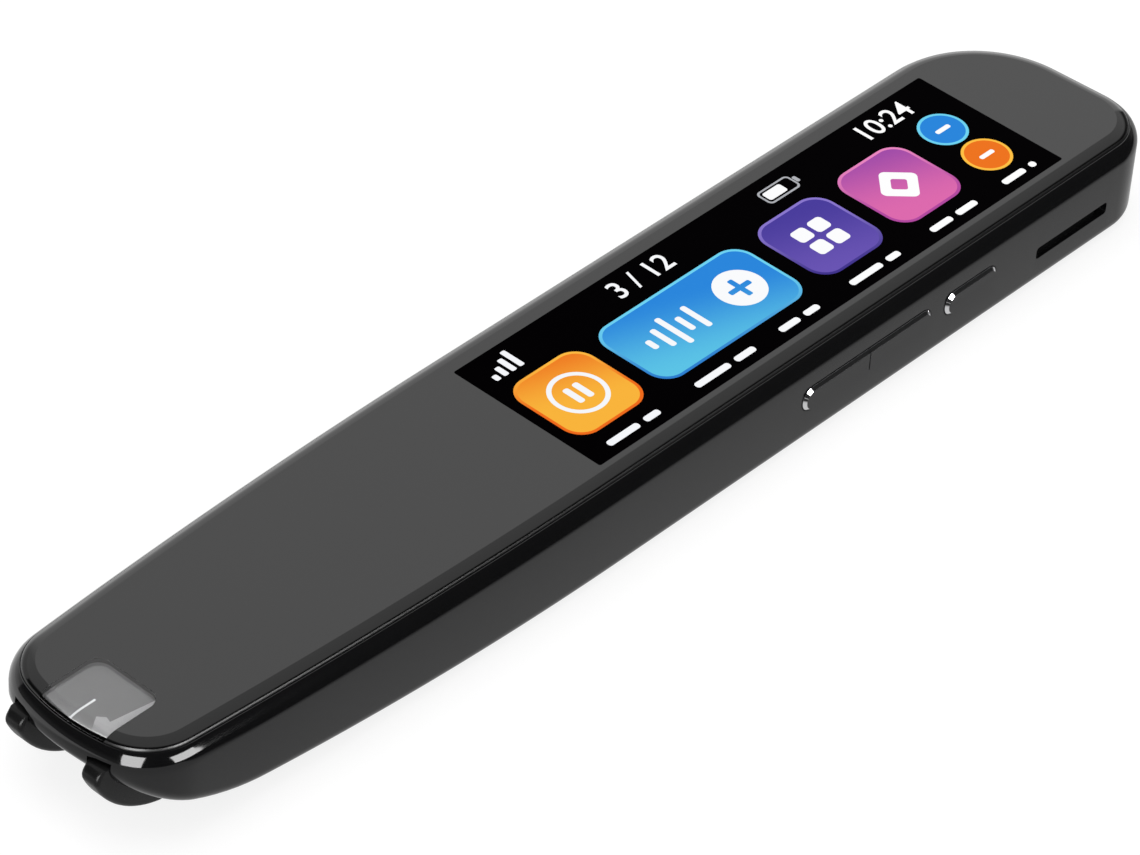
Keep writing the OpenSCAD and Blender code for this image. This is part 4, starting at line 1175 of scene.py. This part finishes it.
def set_floor():
    """White to the camera. What gloss sees of it is painted: grey as a painted shadow of the pen,
    black beside the keys as a painted dark reflection, and brighter beyond the pen.
    """
    paint = Paint("studio_floor")
    first, mirror = seen_rays(paint)
    x, y, _ = paint.axes()
    slow = paint.grain(3, 2)
    # A painted dark reflection: the floor turns black for gloss only, beside the keys
    dark_reflection = paint.step(y, -31, -20, 1, 0) * paint.step(x, -62, -50)
    plain = paint.node("BsdfDiffuse", Color=paint.mix(slow, grey(0.8), grey(0.82)))
    shaded = paint.node("BsdfDiffuse", Color=(0.24, 0.24, 0.24, 1))
    bright = paint.node("Emission", Color=(1, 1, 1, 1), Strength=0.84)
    white = paint.node("AddShader", _0=shaded, _1=bright)
    seen = paint.node("MixShader", _0=first, _1=plain, _2=white)
    # Painted light for gloss: grey for the painted shadow, black in the dark patch, brighter beyond
    # the pen
    strength = FLOOR_GLOSS * (1 - dark_reflection * 0.96) + paint.step(y, 14, 30) * 0.6
    mirrored = paint.node("Emission", Color=(1, 1, 1, 1), Strength=strength)
    paint.finish(paint.node("MixShader", _0=mirror, _1=seen, _2=mirrored))
    lay_down()
    bpy.ops.mesh.primitive_grid_add(x_subdivisions=8, y_subdivisions=8, size=6,
                                    location=(0, 0, -0.00002))
    floor = settle(added("studio_floor"))
    floor.data.materials.append(paint.made)


def set_world():
    """A dim studio with a white wall beyond the pen and a grey ceiling over it."""
    world = bpy.data.worlds.new("studio")
    bpy.context.scene.world = world
    paint = Paint("studio", world)
    first, mirror = seen_rays(paint)
    split = paint.node("SeparateXYZ", Vector=paint.tone("TexCoord", out="Generated"))
    x, y, z = [Tone(paint, out) for out in split.outputs]
    wall = paint.step(y + x * 0.45, 0.69, 0.74) * paint.step(x, -0.6, -0.4)
    wall = wall * paint.step(x, 0.25, 0.5, 0.48, 1)
    wall = wall * paint.step(z, 0.06, 0.36, WALL * 1.7, WALL)
    ceiling = paint.step(x * 0.379 + y * 0.283 + z * 0.883, 0.66, 0.8) * CEILING
    skyline = paint.step(z, 0.1, 0.4, 0.14, 0) * paint.step(y, -0.4, -0.1)
    room = paint.sum("MAXIMUM", paint.sum("MAXIMUM", wall, ceiling), skyline) + 0.015
    strength = first + mirror * room + (1 - first) * (1 - mirror) * SKY_LEVEL
    back = paint.node("Background", Color=(1, 1, 1, 1), Strength=strength)
    paint.node("OutputWorld", _0=back)


def soft_box(name, turn, lift, distance, width, height, power, about=(0, 0, 6), mirrored=True):
    """A rectangular lamp in a direction, for the gloss only or for the dull light only."""
    lamp = bpy.data.lights.new(name, "AREA")
    lamp.shape = "RECTANGLE"
    lamp.size, lamp.size_y = width, height
    lamp.energy = power
    obj = bpy.data.objects.new(name, lamp)
    bpy.context.scene.collection.objects.link(obj)
    a, b = math.radians(turn), math.radians(lift)
    way = Vector((math.cos(a) * math.cos(b), math.sin(a) * math.cos(b), math.sin(b)))
    obj.location = at(*about) + way * distance
    obj.rotation_euler = way.to_track_quat("Z", "Y").to_euler()
    obj.visible_glossy = mirrored
    obj.visible_diffuse = not mirrored
    obj.visible_transmission = False


bpy.context.scene.view_settings.view_transform = "Standard"
set_camera()
set_floor()
set_world()
soft_box("top_light", 120, 80, 1.3, 1.0, 1.0, 7, mirrored=False)
soft_box("left_box", -154, 24, 0.7, 0.34, 0.62, 8.4, (-70, -6, 9))
soft_box("key_side_box", -82.5, 21, 0.7, 0.39, 0.38, 6, (-66, -10, 9))

lay_down()
